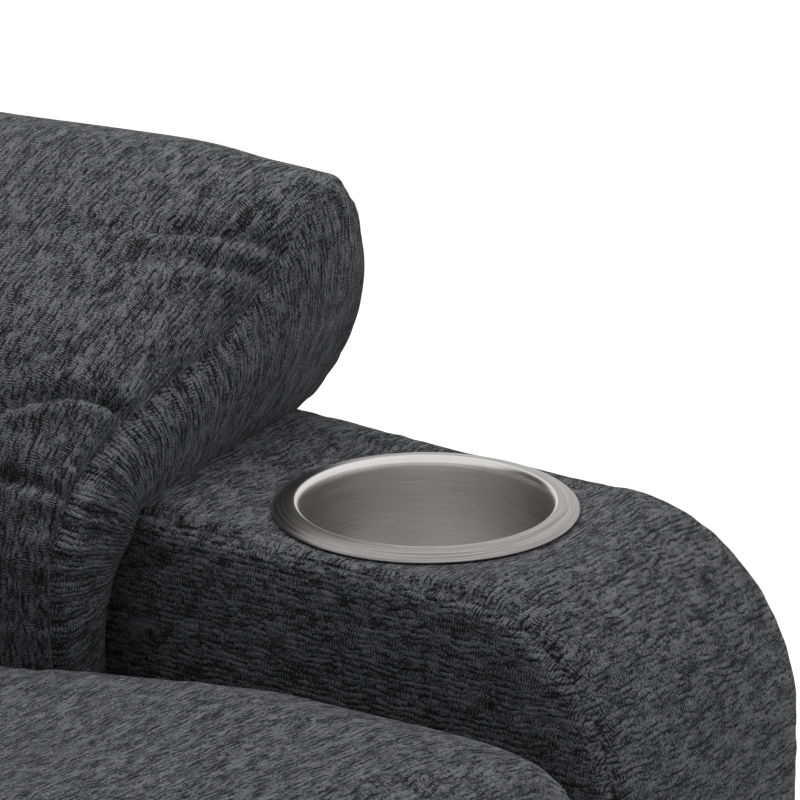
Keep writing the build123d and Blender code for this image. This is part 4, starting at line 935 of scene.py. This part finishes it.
squeezed = REAR_START + REAR_SQUEEZE * (points[:, 1] - REAR_START)
points[:, 1] = np.where(~on_tail & (points[:, 1] > REAR_START), squeezed, points[:, 1])
move_points(seat, points)
even_squares(seat, size=5.5)
points = points_of(seat)
points[:, 2] = np.maximum(points[:, 2], SEAT_FLOOR)
move_points(seat, points)
stuff(seat, points[:, 2] < SEAT_FLOOR + 3, cap=4)
points = points_of(seat)
normals = normals_of(seat)
dent = 1.2 * waves(points, length=130, seed=31) * ease(points[:, 2], 380, 440)
seam_gap = np.abs(points[:, 2] - SEAT_SEAM + 0.06 * (points[:, 1] + 230))
upright = ease(np.hypot(normals[:, 0], normals[:, 1]), 0.55, 0.85)
dent -= 2.2 * groove(seam_gap, 3) * upright
points += normals * dent[:, None]
points[:, 0] = points[:, 0].clip(-SEAT_SIDE, SEAT_SIDE)
points[:, 2] = np.maximum(points[:, 2], SEAT_FLOOR)
cloth = wrap_cloth(*points.T, half_along=275, half_across=296, edge=462, middle=-172)
upholster(seat, points, cloth, "base", "seat_cushion")

# %% [markdown]
# ## Cup holders
# Each cup is pressed from stainless sheet and turned on a lathe: a shallow convex flange, a rolled lip,
# straight walls and a flat bottom. A profile spun round its axis gives exactly that. A lighter copy of the same
# steel on the lip and the inside of the cup is a painted highlight.

# %% Turned steel
brushed, g_in, g_out = new_group(
    "Turned lines",
    [("Place", VECTOR, None), ("Fineness", FLOAT, 2600.0)],
    [("Lines", FLOAT)],
)
t = brushed
place = add_node(t, "ShaderNodeSeparateXYZ", {0: g_in["Place"]}).outputs
fine = maths(t, "MULTIPLY", place["X"], g_in["Fineness"])
slow = maths(t, "MULTIPLY", place["Y"], 6.0)
spot = add_node(t, "ShaderNodeCombineXYZ", {0: fine, 1: slow}).outputs[0]
line_settings = {"Vector": spot, "Scale": 1.0, "Detail": 4.0, "Roughness": 0.7}
lines = add_node(t, "ShaderNodeTexNoise", line_settings, noise_dimensions="2D")
t.links.new(lines.outputs[0], g_out["Lines"])


def turned_steel(name, dark, light, gloss, spread):
    """Stainless steel with fine lines left by turning."""
    material, st, steel_shader = new_material(name, 0.3, 1.0)
    steel_uv = add_node(st, "ShaderNodeUVMap", uv_map="Turned").outputs[0]
    turned = place_group(st, brushed, {"Place": steel_uv})
    tint = ramp(st, turned["Lines"], [(0.3, dark), (0.7, light)])
    st.links.new(tint, steel_shader.inputs["Base Color"])
    rough = maths(st, "MULTIPLY_ADD", turned["Lines"], spread, gloss)
    st.links.new(rough, steel_shader.inputs["Roughness"])
    relief = {"Height": turned["Lines"], "Strength": 0.12, "Distance": 0.0004}
    scratch = add_node(st, "ShaderNodeBump", relief)
    st.links.new(scratch.outputs[0], steel_shader.inputs["Normal"])
    return material


flange_steel = turned_steel(
    "brushed_flange_steel", dark=(0.14, 0.136, 0.133), light=(0.52, 0.505, 0.495), gloss=0.2, spread=0.25)
# A lighter copy of the same stainless steel, for the lip and the inside of the cup: a painted highlight, not a
# different finish.
lip_highlight_steel = turned_steel(
    "turned_wall_steel", dark=(0.6, 0.59, 0.58), light=(0.8, 0.79, 0.775), gloss=0.2, spread=0.2)

# %% Cup holders
CUP_PROFILE = [
    (0, 470.2), (38, 470.2), (42, 471.0), (44.2, 473.4), (45.0, 477.0), (45.0, 500), (45.0, 529.0),
    (45.2, 531.2), (45.8, 532.9), (46.8, 533.6), (48.0, 533.5), (50.0, 533.2), (52.0, 532.6), (53.6, 531.8),
    (54.6, 531.0), (55.0, 530.4), (54.8, 530.0), (52, 529.9), (46.6, 529.9), (46.2, 529.0), (46.2, 474),
    (44, 469.4), (0, 469.0),
]


def turned_piece(name, profile, centre, segments, material):
    """A lathe form about an upright axis, with the run along the profile and round the axis as its UV map."""
    profile = np.asarray(profile, float)
    run = np.append(0, np.cumsum(np.hypot(*np.diff(profile, axis=0).T)))
    turn = np.linspace(0, 2 * np.pi, segments + 1)
    R, A = np.meshgrid(np.arange(len(profile)), turn, indexing="ij")
    radius = profile[R, 0]
    grid = np.stack([centre[0] + radius * np.cos(A), centre[1] + radius * np.sin(A), profile[R, 1]], -1)
    faces = grid_faces(len(profile), segments + 1).tolist()
    made = new_piece(name, grid.reshape(-1, 3), faces, material)
    lay_cloth(made, np.stack([run[R], A / (2 * np.pi * MM)], -1).reshape(-1, 2), "Turned")
    weld(made, 0.001)
    return made


# Faces inside this radius and below this height, the rolled lip and the inside, get the lighter steel of the
# painted highlight.
HIGHLIGHT_RADIUS = 46.9
HIGHLIGHT_TOP = 534.0
for side, sign in (("left", 1), ("right", -1)):
    centre = (sign * ARM_MID, CUP_Y)
    cup = turned_piece(side + "_cup", CUP_PROFILE, centre, segments=160, material=flange_steel)
    cup.data.materials.append(lip_highlight_steel)
    for face in cup.data.polygons:
        reach = math.hypot(face.center.x - sign * ARM_MID * MM, face.center.y - CUP_Y * MM)
        if reach < HIGHLIGHT_RADIUS * MM and face.center.z < HIGHLIGHT_TOP * MM:
            face.material_index = 1
    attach(cup, "base")
    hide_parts(side + "_cup_holder")
print("cups spun from", len(CUP_PROFILE), "profile points")

# %% [markdown]
# ## Back
# The back cushion has three full rolls with sewn channels between them, narrow between the arms and wider
# above. Its CAD solid has the rolls already, so a welded copy is remeshed and stuffed, and the channel seams
# with their gathers are pressed in after. The outside back is a thin padded shell whose rim reaches forwards
# to the cushion. Everything is measured from the recline hinge, up the back and out to the rear.

# %% Back cushion
RAKE = math.radians(18)
HINGE = np.array([0.0, 205.0, 400.0])
UP = np.array([0, math.sin(RAKE), math.cos(RAKE)])
OUT = np.array([0, math.cos(RAKE), -math.sin(RAKE)])
CHANNEL_UPS = (262, 450)
FACE_SEAM_OUT = -40


def back_place(points):
    """Distance across, up the back and out to the rear, from the recline hinge."""
    return points[:, 0], (points - HINGE) @ UP, (points - HINGE) @ OUT


back_cover = copy_of_node("back_cover", "back_cushion")
even_squares(back_cover, size=6.6)
soften(back_cover, rounds=3)
across, up, out = back_place(points_of(back_cover))
stuff(back_cover, out > -12, cap=14)
divide(back_cover)
points = points_of(back_cover)
normals = normals_of(back_cover)
across, up, out = back_place(points)
dent = 1.4 * waves(points, length=140, seed=43)
for channel in CHANNEL_UPS:
    gap = np.abs(up - channel - 4 * np.cos(across / 160))
    dent -= 5.0 * groove(gap, 4.5)
    dent += 1.6 * pucker(across * 0.6 + channel, seed=channel) * beside(gap, 24, 5)
edge_gap = np.abs(out - FACE_SEAM_OUT)
dent -= 2.4 * groove(edge_gap, 3.2) * ease(np.abs(normals[:, 0]), 0.6, 0.85)
points += normals * (dent * ease(-out, 8, 22))[:, None]
half_width = 230 + 70 * ease(up, 262, 350)
cloth = wrap_cloth(across, up, -out, half_along=half_width, half_across=310, edge=58, middle=330)
upholster(back_cover, points, cloth, "back", "back_cushion")

# %% Outside back
RIM_REACH = 10.0
RIM_SEAM_OUT = 40
rear_cover = copy_of_node("outside_back_cover", "outside_back")
even_squares(rear_cover, size=7)
soften(rear_cover, rounds=4)
across, up, out = back_place(points_of(rear_cover))
stuff(rear_cover, out < 46, cap=7)
divide(rear_cover)
points = points_of(rear_cover)
normals = normals_of(rear_cover)
across, up, out = back_place(points)
dent = 0.9 * waves(points, length=160, seed=47) * ease(out, 44, 54)
dent -= 1.8 * groove(out - RIM_SEAM_OUT, 3) * (1 - ease(np.abs(normals @ OUT), 0.4, 0.7))
points += normals * dent[:, None]
points -= (RIM_REACH * ease(RIM_REACH - out, 0, 8))[:, None] * OUT
half_width = 244 + 70 * ease(up, 262, 350)
cloth = wrap_cloth(across, up, out, half_along=half_width, half_across=320, edge=52, middle=330, roundness=4)
# Each piece is cut from another place of the cloth, so that no two show the same threads.
upholster(rear_cover, points, cloth + 2000, "back", "outside_back")

# %% [markdown]
# ## Footrest and apron
# The footrest pad is a boxed cushion with a seam round its face, and its cloth is pulled over the edges of its
# board. The rear apron is a board with cloth over thin wadding. Both are made in the same way as the seat.

# %% Footrest pad
PAD_REAR, BOARD_REAR, PAD_MIDDLE = -405.0, -391.5, -430.0
PAD_FRONT, PAD_SEAM, PAD_SIDE = -461, -424, 275
foot_pad = copy_of_node("footrest_pad_cover", "footrest_pad")
even_squares(foot_pad, size=5)
soften(foot_pad, rounds=4)
points = points_of(foot_pad)
reach = (BOARD_REAR - PAD_MIDDLE) / (PAD_REAR - PAD_MIDDLE)
drawn_back = PAD_MIDDLE + reach * (points[:, 1] - PAD_MIDDLE)
points[:, 1] = np.where(points[:, 1] > PAD_MIDDLE, drawn_back, points[:, 1])
move_points(foot_pad, points)
stuff(foot_pad, points[:, 1] > PAD_REAR, cap=8)
divide(foot_pad)
points = points_of(foot_pad)
normals = normals_of(foot_pad)
dent = 1.0 * waves(points, length=120, seed=51)
seam_gap = np.abs(points[:, 1] - PAD_SEAM)
dent -= 2.4 * groove(seam_gap, 3)
dent += 0.7 * pucker(points[:, 0] + points[:, 2], seed=52) * beside(seam_gap, 12, 3)
points += normals * (dent * ease(BOARD_REAR - points[:, 1], 3, 14))[:, None]
points[:, 0] = points[:, 0].clip(-PAD_SIDE, PAD_SIDE)
points[:, 1] = np.maximum(points[:, 1], PAD_FRONT)
across, forth, up = points.T
cloth = wrap_cloth(across, up, -forth, half_along=272, half_across=132, edge=440, middle=207, roundness=6)
upholster(foot_pad, points, cloth + 3000, "footrest", "footrest_pad")

# %% Apron
APRON_BLOCK = ((-280, 290.6, 58), (280, 309.7, 360), (60, 10, 40))
HEM_LOW, HEM_HIGH = 74, 344
apron = joined_blocks("rear_apron_cover", [APRON_BLOCK])
even_squares(apron, size=4)
points = points_of(apron)
normals = normals_of(apron)
hem_gap = np.minimum(points[:, 2] - HEM_LOW, HEM_HIGH - points[:, 2])
dent = -0.9 * groove(hem_gap, 2.4) - 0.25 * np.abs(waves(points, length=60, seed=61))
points += normals * (dent * ease(points[:, 1], 304, 309))[:, None]
across, forth, up = points.T
cloth = wrap_cloth(across, up, forth, half_along=280, half_across=150, edge=306, middle=209, roundness=3)
upholster(apron, points, cloth + 4000, "base", "rear_apron")

# %% [markdown]
# ## Finishes of the bare parts
# Under the cloth are plywood boards, black powder-coated plates and tubes, zinc-plated bolts and springs,
# drawn aluminium rails, and moulded plastic. Two shared groups serve them all: one gives fine grain with slow
# clouding, the other stretched lines.

# %% Grain group
grain, g_in, g_out = new_group(
    "Grain and clouds",
    [("Place", VECTOR, None), ("Grain", FLOAT, 900.0), ("Clouds", FLOAT, 18.0)],
    [("Grain", FLOAT), ("Clouds", FLOAT)],
)
fine = {"Vector": g_in["Place"], "Scale": g_in["Grain"], "Detail": 2.0}
wide = {"Vector": g_in["Place"], "Scale": g_in["Clouds"], "Detail": 5.0, "Roughness": 0.65}
fine = add_node(grain, "ShaderNodeTexNoise", fine)
wide = add_node(grain, "ShaderNodeTexNoise", wide)
grain.links.new(fine.outputs[0], g_out["Grain"])
grain.links.new(wide.outputs[0], g_out["Clouds"])


def grained(name, dark, light, rough, metallic, size, clouds, depth):
    """A finish with two shades in clouds, fine grain in its relief and uneven gloss."""
    material, tree, shader = new_material(name, sum(rough) / 2, metallic)
    place = add_node(tree, "ShaderNodeTexCoord").outputs["Object"]
    marks = place_group(tree, grain, {"Place": place, "Grain": size, "Clouds": clouds})
    tree.links.new(ramp(tree, marks["Clouds"], [(0.3, dark), (0.72, light)]), shader.inputs["Base Color"])
    gloss = maths(tree, "MULTIPLY_ADD", marks["Clouds"], rough[1] - rough[0], rough[0])
    tree.links.new(gloss, shader.inputs["Roughness"])
    relief = {"Height": marks["Grain"], "Strength": 0.35, "Distance": depth * MM}
    bump = add_node(tree, "ShaderNodeBump", relief)
    tree.links.new(bump.outputs[0], shader.inputs["Normal"])
    return material


powder_black = grained(
    "powder_black", dark=(0.018, 0.018, 0.019), light=(0.036, 0.036, 0.038),
    rough=(0.38, 0.62), metallic=0.0, size=700.0, clouds=22.0, depth=0.25)
zinc_plate = grained(
    "zinc_plate", dark=(0.36, 0.37, 0.38), light=(0.58, 0.58, 0.57),
    rough=(0.24, 0.46), metallic=1.0, size=1200.0, clouds=60.0, depth=0.1)
moulded_black = grained(
    "moulded_black", dark=(0.018, 0.018, 0.02), light=(0.03, 0.03, 0.032),
    rough=(0.42, 0.6), metallic=0.0, size=1600.0, clouds=14.0, depth=0.2)
button_grey = grained(
    "button_grey", dark=(0.16, 0.16, 0.17), light=(0.22, 0.22, 0.23),
    rough=(0.4, 0.55), metallic=0.0, size=2200.0, clouds=40.0, depth=0.12)
print("grained finishes", [m.name for m in (powder_black, zinc_plate, moulded_black, button_grey)])


# %% Plywood and rails
drawn, g_in, g_out = new_group(
    "Drawn lines",
    [("Place", VECTOR, None), ("Stretch", VECTOR, (90.0, 90.0, 7.0))],
    [("Lines", FLOAT)],
)
stretch_inputs = {0: g_in["Place"], 1: g_in["Stretch"]}
stretched = add_node(drawn, "ShaderNodeVectorMath", stretch_inputs, operation="MULTIPLY")
streak = add_node(drawn, "ShaderNodeTexNoise", {
    "Vector": stretched.outputs[0], "Scale": 1.0, "Detail": 5.0, "Roughness": 0.6, "Distortion": 0.6})
drawn.links.new(streak.outputs[0], g_out["Lines"])


def lined(name, stops, stretch, rough, metallic, strength):
    """A finish with lines stretched along one direction, such as wood grain or drawing marks."""
    material, tree, shader = new_material(name, sum(rough) / 2, metallic)
    place = add_node(tree, "ShaderNodeTexCoord").outputs["Object"]
    lines = place_group(tree, drawn, {"Place": place, "Stretch": stretch})["Lines"]
    tree.links.new(ramp(tree, lines, stops), shader.inputs["Base Color"])
    gloss = maths(tree, "MULTIPLY_ADD", lines, rough[1] - rough[0], rough[0])
    tree.links.new(gloss, shader.inputs["Roughness"])
    bump = add_node(tree, "ShaderNodeBump", {"Height": lines, "Strength": strength, "Distance": 0.0004})
    tree.links.new(bump.outputs[0], shader.inputs["Normal"])
    return material


PLY_STOPS = [(0.25, (0.3, 0.19, 0.095)), (0.5, (0.5, 0.36, 0.21)), (0.75, (0.62, 0.48, 0.31))]
PLY_GLOSS = {"rough": (0.55, 0.75), "metallic": 0.0, "strength": 0.25}
ply_upright = lined("plywood_upright", PLY_STOPS, stretch=(90, 90, 7), **PLY_GLOSS)
ply_across = lined("plywood_across", PLY_STOPS, stretch=(7, 90, 90), **PLY_GLOSS)
RAIL_STOPS = [(0.3, (0.55, 0.55, 0.57)), (0.7, (0.74, 0.74, 0.76))]
drawn_aluminium = lined(
    "drawn_aluminium", RAIL_STOPS, stretch=(900, 5, 900), rough=(0.25, 0.42), metallic=1.0, strength=0.12)

# %% A finish for each part
FINISHES = {
    "arm_boards": ply_upright, "arm_top_board": ply_across, "seat_frame": ply_across,
    "back_frame": ply_across, "footrest_board": ply_across, "mechanism_bolts": zinc_plate,
    "leg_rail": drawn_aluminium, "back_rail": drawn_aluminium,
}
for name in ("feet", "power_inlet", "switch_panel", "leg_carriage", "back_carriage", "leg_motor", "back_motor"):
    FINISHES[name] = moulded_black
DRESSED = ("arm_band", "arm_inner_panel", "arm_outer_panel", "arm_pillow", "cup_holder")
finished = 0
for name, node in NODES.items():
    plain = name.replace("left_", "").replace("right_", "")
    if plain in DRESSED:
        continue
    finish = button_grey if "button" in plain else FINISHES.get(plain, powder_black)
    if node.material_slots:
        for node_slot in node.material_slots:
            node_slot.material = finish
    else:
        node.data.materials.append(finish)
    finished += 1
print("finishes given to", finished, "bare parts")

# %% [markdown]
# ## Springs
# Zigzag springs carry the seat and the back: a round wire bent from side to side. The CAD wire is square, so a
# Geometry Nodes tree draws the same wave with a round section, repeats it side by side, and is baked twice.

# %% Spring tree
springs = bpy.data.node_groups.new("Zigzag springs", "GeometryNodeTree")
SPRING_INPUTS = {"Length": 0.504, "Swing": 0.0195, "Loops": 11.0, "Wire": 0.0018, "Pitch": 0.096}
for label, value in SPRING_INPUTS.items():
    springs.interface.new_socket(label, in_out="INPUT", socket_type="NodeSocketFloat").default_value = value
springs.interface.new_socket("Count", in_out="INPUT", socket_type="NodeSocketInt").default_value = 4
springs.interface.new_socket("Finish", in_out="INPUT", socket_type="NodeSocketMaterial")
springs.interface.new_socket("Geometry", in_out="OUTPUT", socket_type="NodeSocketGeometry")
t = springs
s_in = t.nodes.new("NodeGroupInput").outputs
line_end = add_node(t, "ShaderNodeCombineXYZ", {1: s_in["Length"]}).outputs[0]
wire = add_node(t, "GeometryNodeCurvePrimitiveLine", {"End": line_end}).outputs[0]
wire = add_node(t, "GeometryNodeResampleCurve", {"Curve": wire, "Count": 166}).outputs[0]
part_way = add_node(t, "GeometryNodeSplineParameter").outputs["Factor"]
phase = maths(t, "MULTIPLY", maths(t, "MULTIPLY", part_way, s_in["Loops"]), math.pi)
sway = maths(t, "MULTIPLY", maths(t, "SINE", phase), 1.35)
sway = maths(t, "MULTIPLY", maths(t, "MINIMUM", maths(t, "MAXIMUM", sway, -1.08), 1.08), s_in["Swing"])
shift = add_node(t, "ShaderNodeCombineXYZ", {0: sway}).outputs[0]
wire = add_node(t, "GeometryNodeSetPosition", {"Geometry": wire, "Offset": shift}).outputs[0]
gap = add_node(t, "ShaderNodeCombineXYZ", {0: s_in["Pitch"]}).outputs[0]
gaps = maths(t, "SUBTRACT", s_in["Count"], 1.0)
first = maths(t, "MULTIPLY", maths(t, "MULTIPLY", gaps, s_in["Pitch"]), -0.5)
first = add_node(t, "ShaderNodeCombineXYZ", {0: first}).outputs[0]
row_inputs = {"Count": s_in["Count"], "Start Location": first, "Offset": gap}
row = add_node(t, "GeometryNodeMeshLine", row_inputs).outputs[0]
wires = add_node(t, "GeometryNodeInstanceOnPoints", {"Points": row, "Instance": wire}).outputs[0]
wires = add_node(t, "GeometryNodeRealizeInstances", {0: wires}).outputs[0]
wire_size = {"Resolution": 8, "Radius": s_in["Wire"]}
round_wire = add_node(t, "GeometryNodeCurvePrimitiveCircle", wire_size).outputs[0]
tube_inputs = {"Curve": wires, "Profile Curve": round_wire, "Fill Caps": True}
tubes = add_node(t, "GeometryNodeCurveToMesh", tube_inputs).outputs[0]
tubes = add_node(t, "GeometryNodeSetMaterial", {"Geometry": tubes, "Material": s_in["Finish"]}).outputs[0]
add_node(t, "NodeGroupOutput", {0: tubes})


# %% Spring wires
def grow(name, tree, values, start=None):
    """Bakes a Geometry Nodes tree, with values by input name, into a plain mesh."""
    piece = bpy.data.objects.new(name, start or bpy.data.meshes.new(name))
    scene.collection.objects.link(piece)
    modifier = piece.modifiers.new("tree", "NODES")
    modifier.node_group = tree
    for item in tree.interface.items_tree:
        if item.in_out == "INPUT" and item.name in values:
            modifier[item.identifier] = values[item.name]
    piece.update_tag()
    bake_modifiers(piece)
    return piece


SEAT_WIRES_AT = [0, -378, 347.8]
BACK_WIRES_UP, BACK_WIRES_OUT = 20, -1.8
seat_wires = grow("seat_wires", springs, {"Length": 0.504, "Pitch": 0.096, "Finish": zinc_plate})
move_points(seat_wires, points_of(seat_wires) + SEAT_WIRES_AT)
back_wires = grow("back_wires", springs, {"Length": 0.550, "Pitch": 0.084, "Finish": zinc_plate})
flat = points_of(back_wires)
aside, up, out = flat[:, [0]], flat[:, [1]] + BACK_WIRES_UP, flat[:, [2]] + BACK_WIRES_OUT
move_points(back_wires, HINGE + aside * [1, 0, 0] + up * UP + out * OUT)
back_wires.data.flip_normals()
for wires, body, node in ((seat_wires, "base", "seat_springs"), (back_wires, "back", "back_springs")):
    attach(wires, body)
    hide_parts(node)
    print(wires.name, len(wires.data.polygons), "faces")

# %% [markdown]
# ## Fastener heads
# The links turn on shouldered pins that are peened over on the inside, hexagon bolts hold the side plates, and
# small screws hold the switch plate. One tree sets a stepped round or hexagon head on each given point.

# %% Head tree
heads = bpy.data.node_groups.new("Fastener heads", "GeometryNodeTree")
heads.interface.new_socket("Geometry", in_out="INPUT", socket_type="NodeSocketGeometry")
for label, value in {"Radius": 0.006, "Height": 0.003, "Washer": 0.008}.items():
    heads.interface.new_socket(label, in_out="INPUT", socket_type="NodeSocketFloat").default_value = value
heads.interface.new_socket("Sides", in_out="INPUT", socket_type="NodeSocketInt").default_value = 6
heads.interface.new_socket("Finish", in_out="INPUT", socket_type="NodeSocketMaterial")
heads.interface.new_socket("Geometry", in_out="OUTPUT", socket_type="NodeSocketGeometry")
t = heads
h_in = t.nodes.new("NodeGroupInput").outputs


def step_of_head(sides, bottom, top, depth, rise):
    """One stepped layer of a fastener head, raised above its seat."""
    sizes = {"Vertices": sides, "Radius Bottom": bottom, "Radius Top": top, "Depth": depth}
    cone = add_node(t, "GeometryNodeMeshCone", sizes)
    lift = add_node(t, "ShaderNodeCombineXYZ", {2: rise}).outputs[0]
    return add_node(t, "GeometryNodeSetPosition", {"Geometry": cone.outputs[0], "Offset": lift}).outputs[0]


washer_lift = 0.0008
overlap = 0.0001
crown_depth = maths(t, "MULTIPLY", h_in["Height"], 0.35)
crown_rise = maths(t, "ADD", h_in["Height"], washer_lift - overlap)
crown_top = maths(t, "MULTIPLY", h_in["Radius"], 0.62)
washer_top = maths(t, "MULTIPLY", h_in["Washer"], 0.94)
layers = [
    step_of_head(20, h_in["Washer"], washer_top, washer_lift, -overlap),
    step_of_head(h_in["Sides"], h_in["Radius"], h_in["Radius"], h_in["Height"], washer_lift - 2 * overlap),
    step_of_head(h_in["Sides"], h_in["Radius"], crown_top, crown_depth, crown_rise),
]
head = add_node(t, "GeometryNodeJoinGeometry")
for layer in layers:
    t.links.new(layer, head.inputs[0])
facing = add_node(t, "GeometryNodeInputNamedAttribute", {"Name": "facing"}, data_type="FLOAT_VECTOR")
turn = add_node(t, "FunctionNodeAlignRotationToVector", {"Vector": facing.outputs[0]}, axis="Z").outputs[0]
places = {"Points": h_in["Geometry"], "Instance": head.outputs[0], "Rotation": turn}
placed = add_node(t, "GeometryNodeInstanceOnPoints", places)
real = add_node(t, "GeometryNodeRealizeInstances", {0: placed.outputs[0]}).outputs[0]
real = add_node(t, "GeometryNodeSetMaterial", {"Geometry": real, "Material": h_in["Finish"]}).outputs[0]
add_node(t, "NodeGroupOutput", {0: real})


def set_heads(name, body, places, radius, height, washer, sides):
    """Fastener heads on one body, at places in millimetres with their facing direction."""
    start = bpy.data.meshes.new(name)
    start.from_pydata([tuple(c * MM for c in place) for place, _ in places], [], [])
    toward = start.attributes.new("facing", "FLOAT_VECTOR", "POINT")
    toward.data.foreach_set("vector", np.array([d for _, d in places], np.float32).ravel())
    sizes = {"Radius": radius * MM, "Height": height * MM, "Washer": washer * MM, "Sides": sides}
    made = grow(name, heads, {**sizes, "Finish": zinc_plate}, start)
    made.data.set_sharp_from_angle(angle=math.radians(30))
    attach(made, body)
    print(name, len(places), "heads")


# %% Pivots, bolts and screws
def both_sides(x, spots):
    """Places on the inner faces of the left and right plates at one distance from the middle."""
    left = [((x, y, z), (-1, 0, 0)) for y, z in spots]
    return left + [((-x, y, z), (1, 0, 0)) for y, z in spots]


LAYER_FACES = {1: 253.0, 2: 244.0, 3: 235.0}
PIVOTS = [
    ("rear_links", 1, [(-175.04, 223.15)]),
    ("scissor_links", 2, [(-92.47, 97.92), (-183.43, 159.77)]),
    ("outer_links", 2, [(-142.14, 97.16)]),
    ("footrest", 3, [(-372.0, 288.0), (-330.71, 225.39)]),
    ("back", 1, [(205.0, 400.0)]),
]
for body, layer, spots in PIVOTS:
    places = both_sides(LAYER_FACES[layer], spots)
    set_heads(body + "_pin_ends", body, places, radius=5.2, height=1.1, washer=7.2, sides=20)
PLATE_BOLTS = [(-236.0, 326.0), (110.0, 326.0), (222.0, 262.0), (-62.0, 205.0)]
PLATE_FACE = 262.0
places = both_sides(PLATE_FACE, PLATE_BOLTS)
set_heads("plate_bolt_heads", "base", places, radius=6.5, height=2.4, washer=8.5, sides=6)
screws = [((-401.0, SWITCH_Y + end, SWITCH_Z), (-1, 0, 0)) for end in (-55, 55)]
set_heads("switch_plate_screws", "base", screws, radius=2.6, height=0.8, washer=3.2, sides=16)
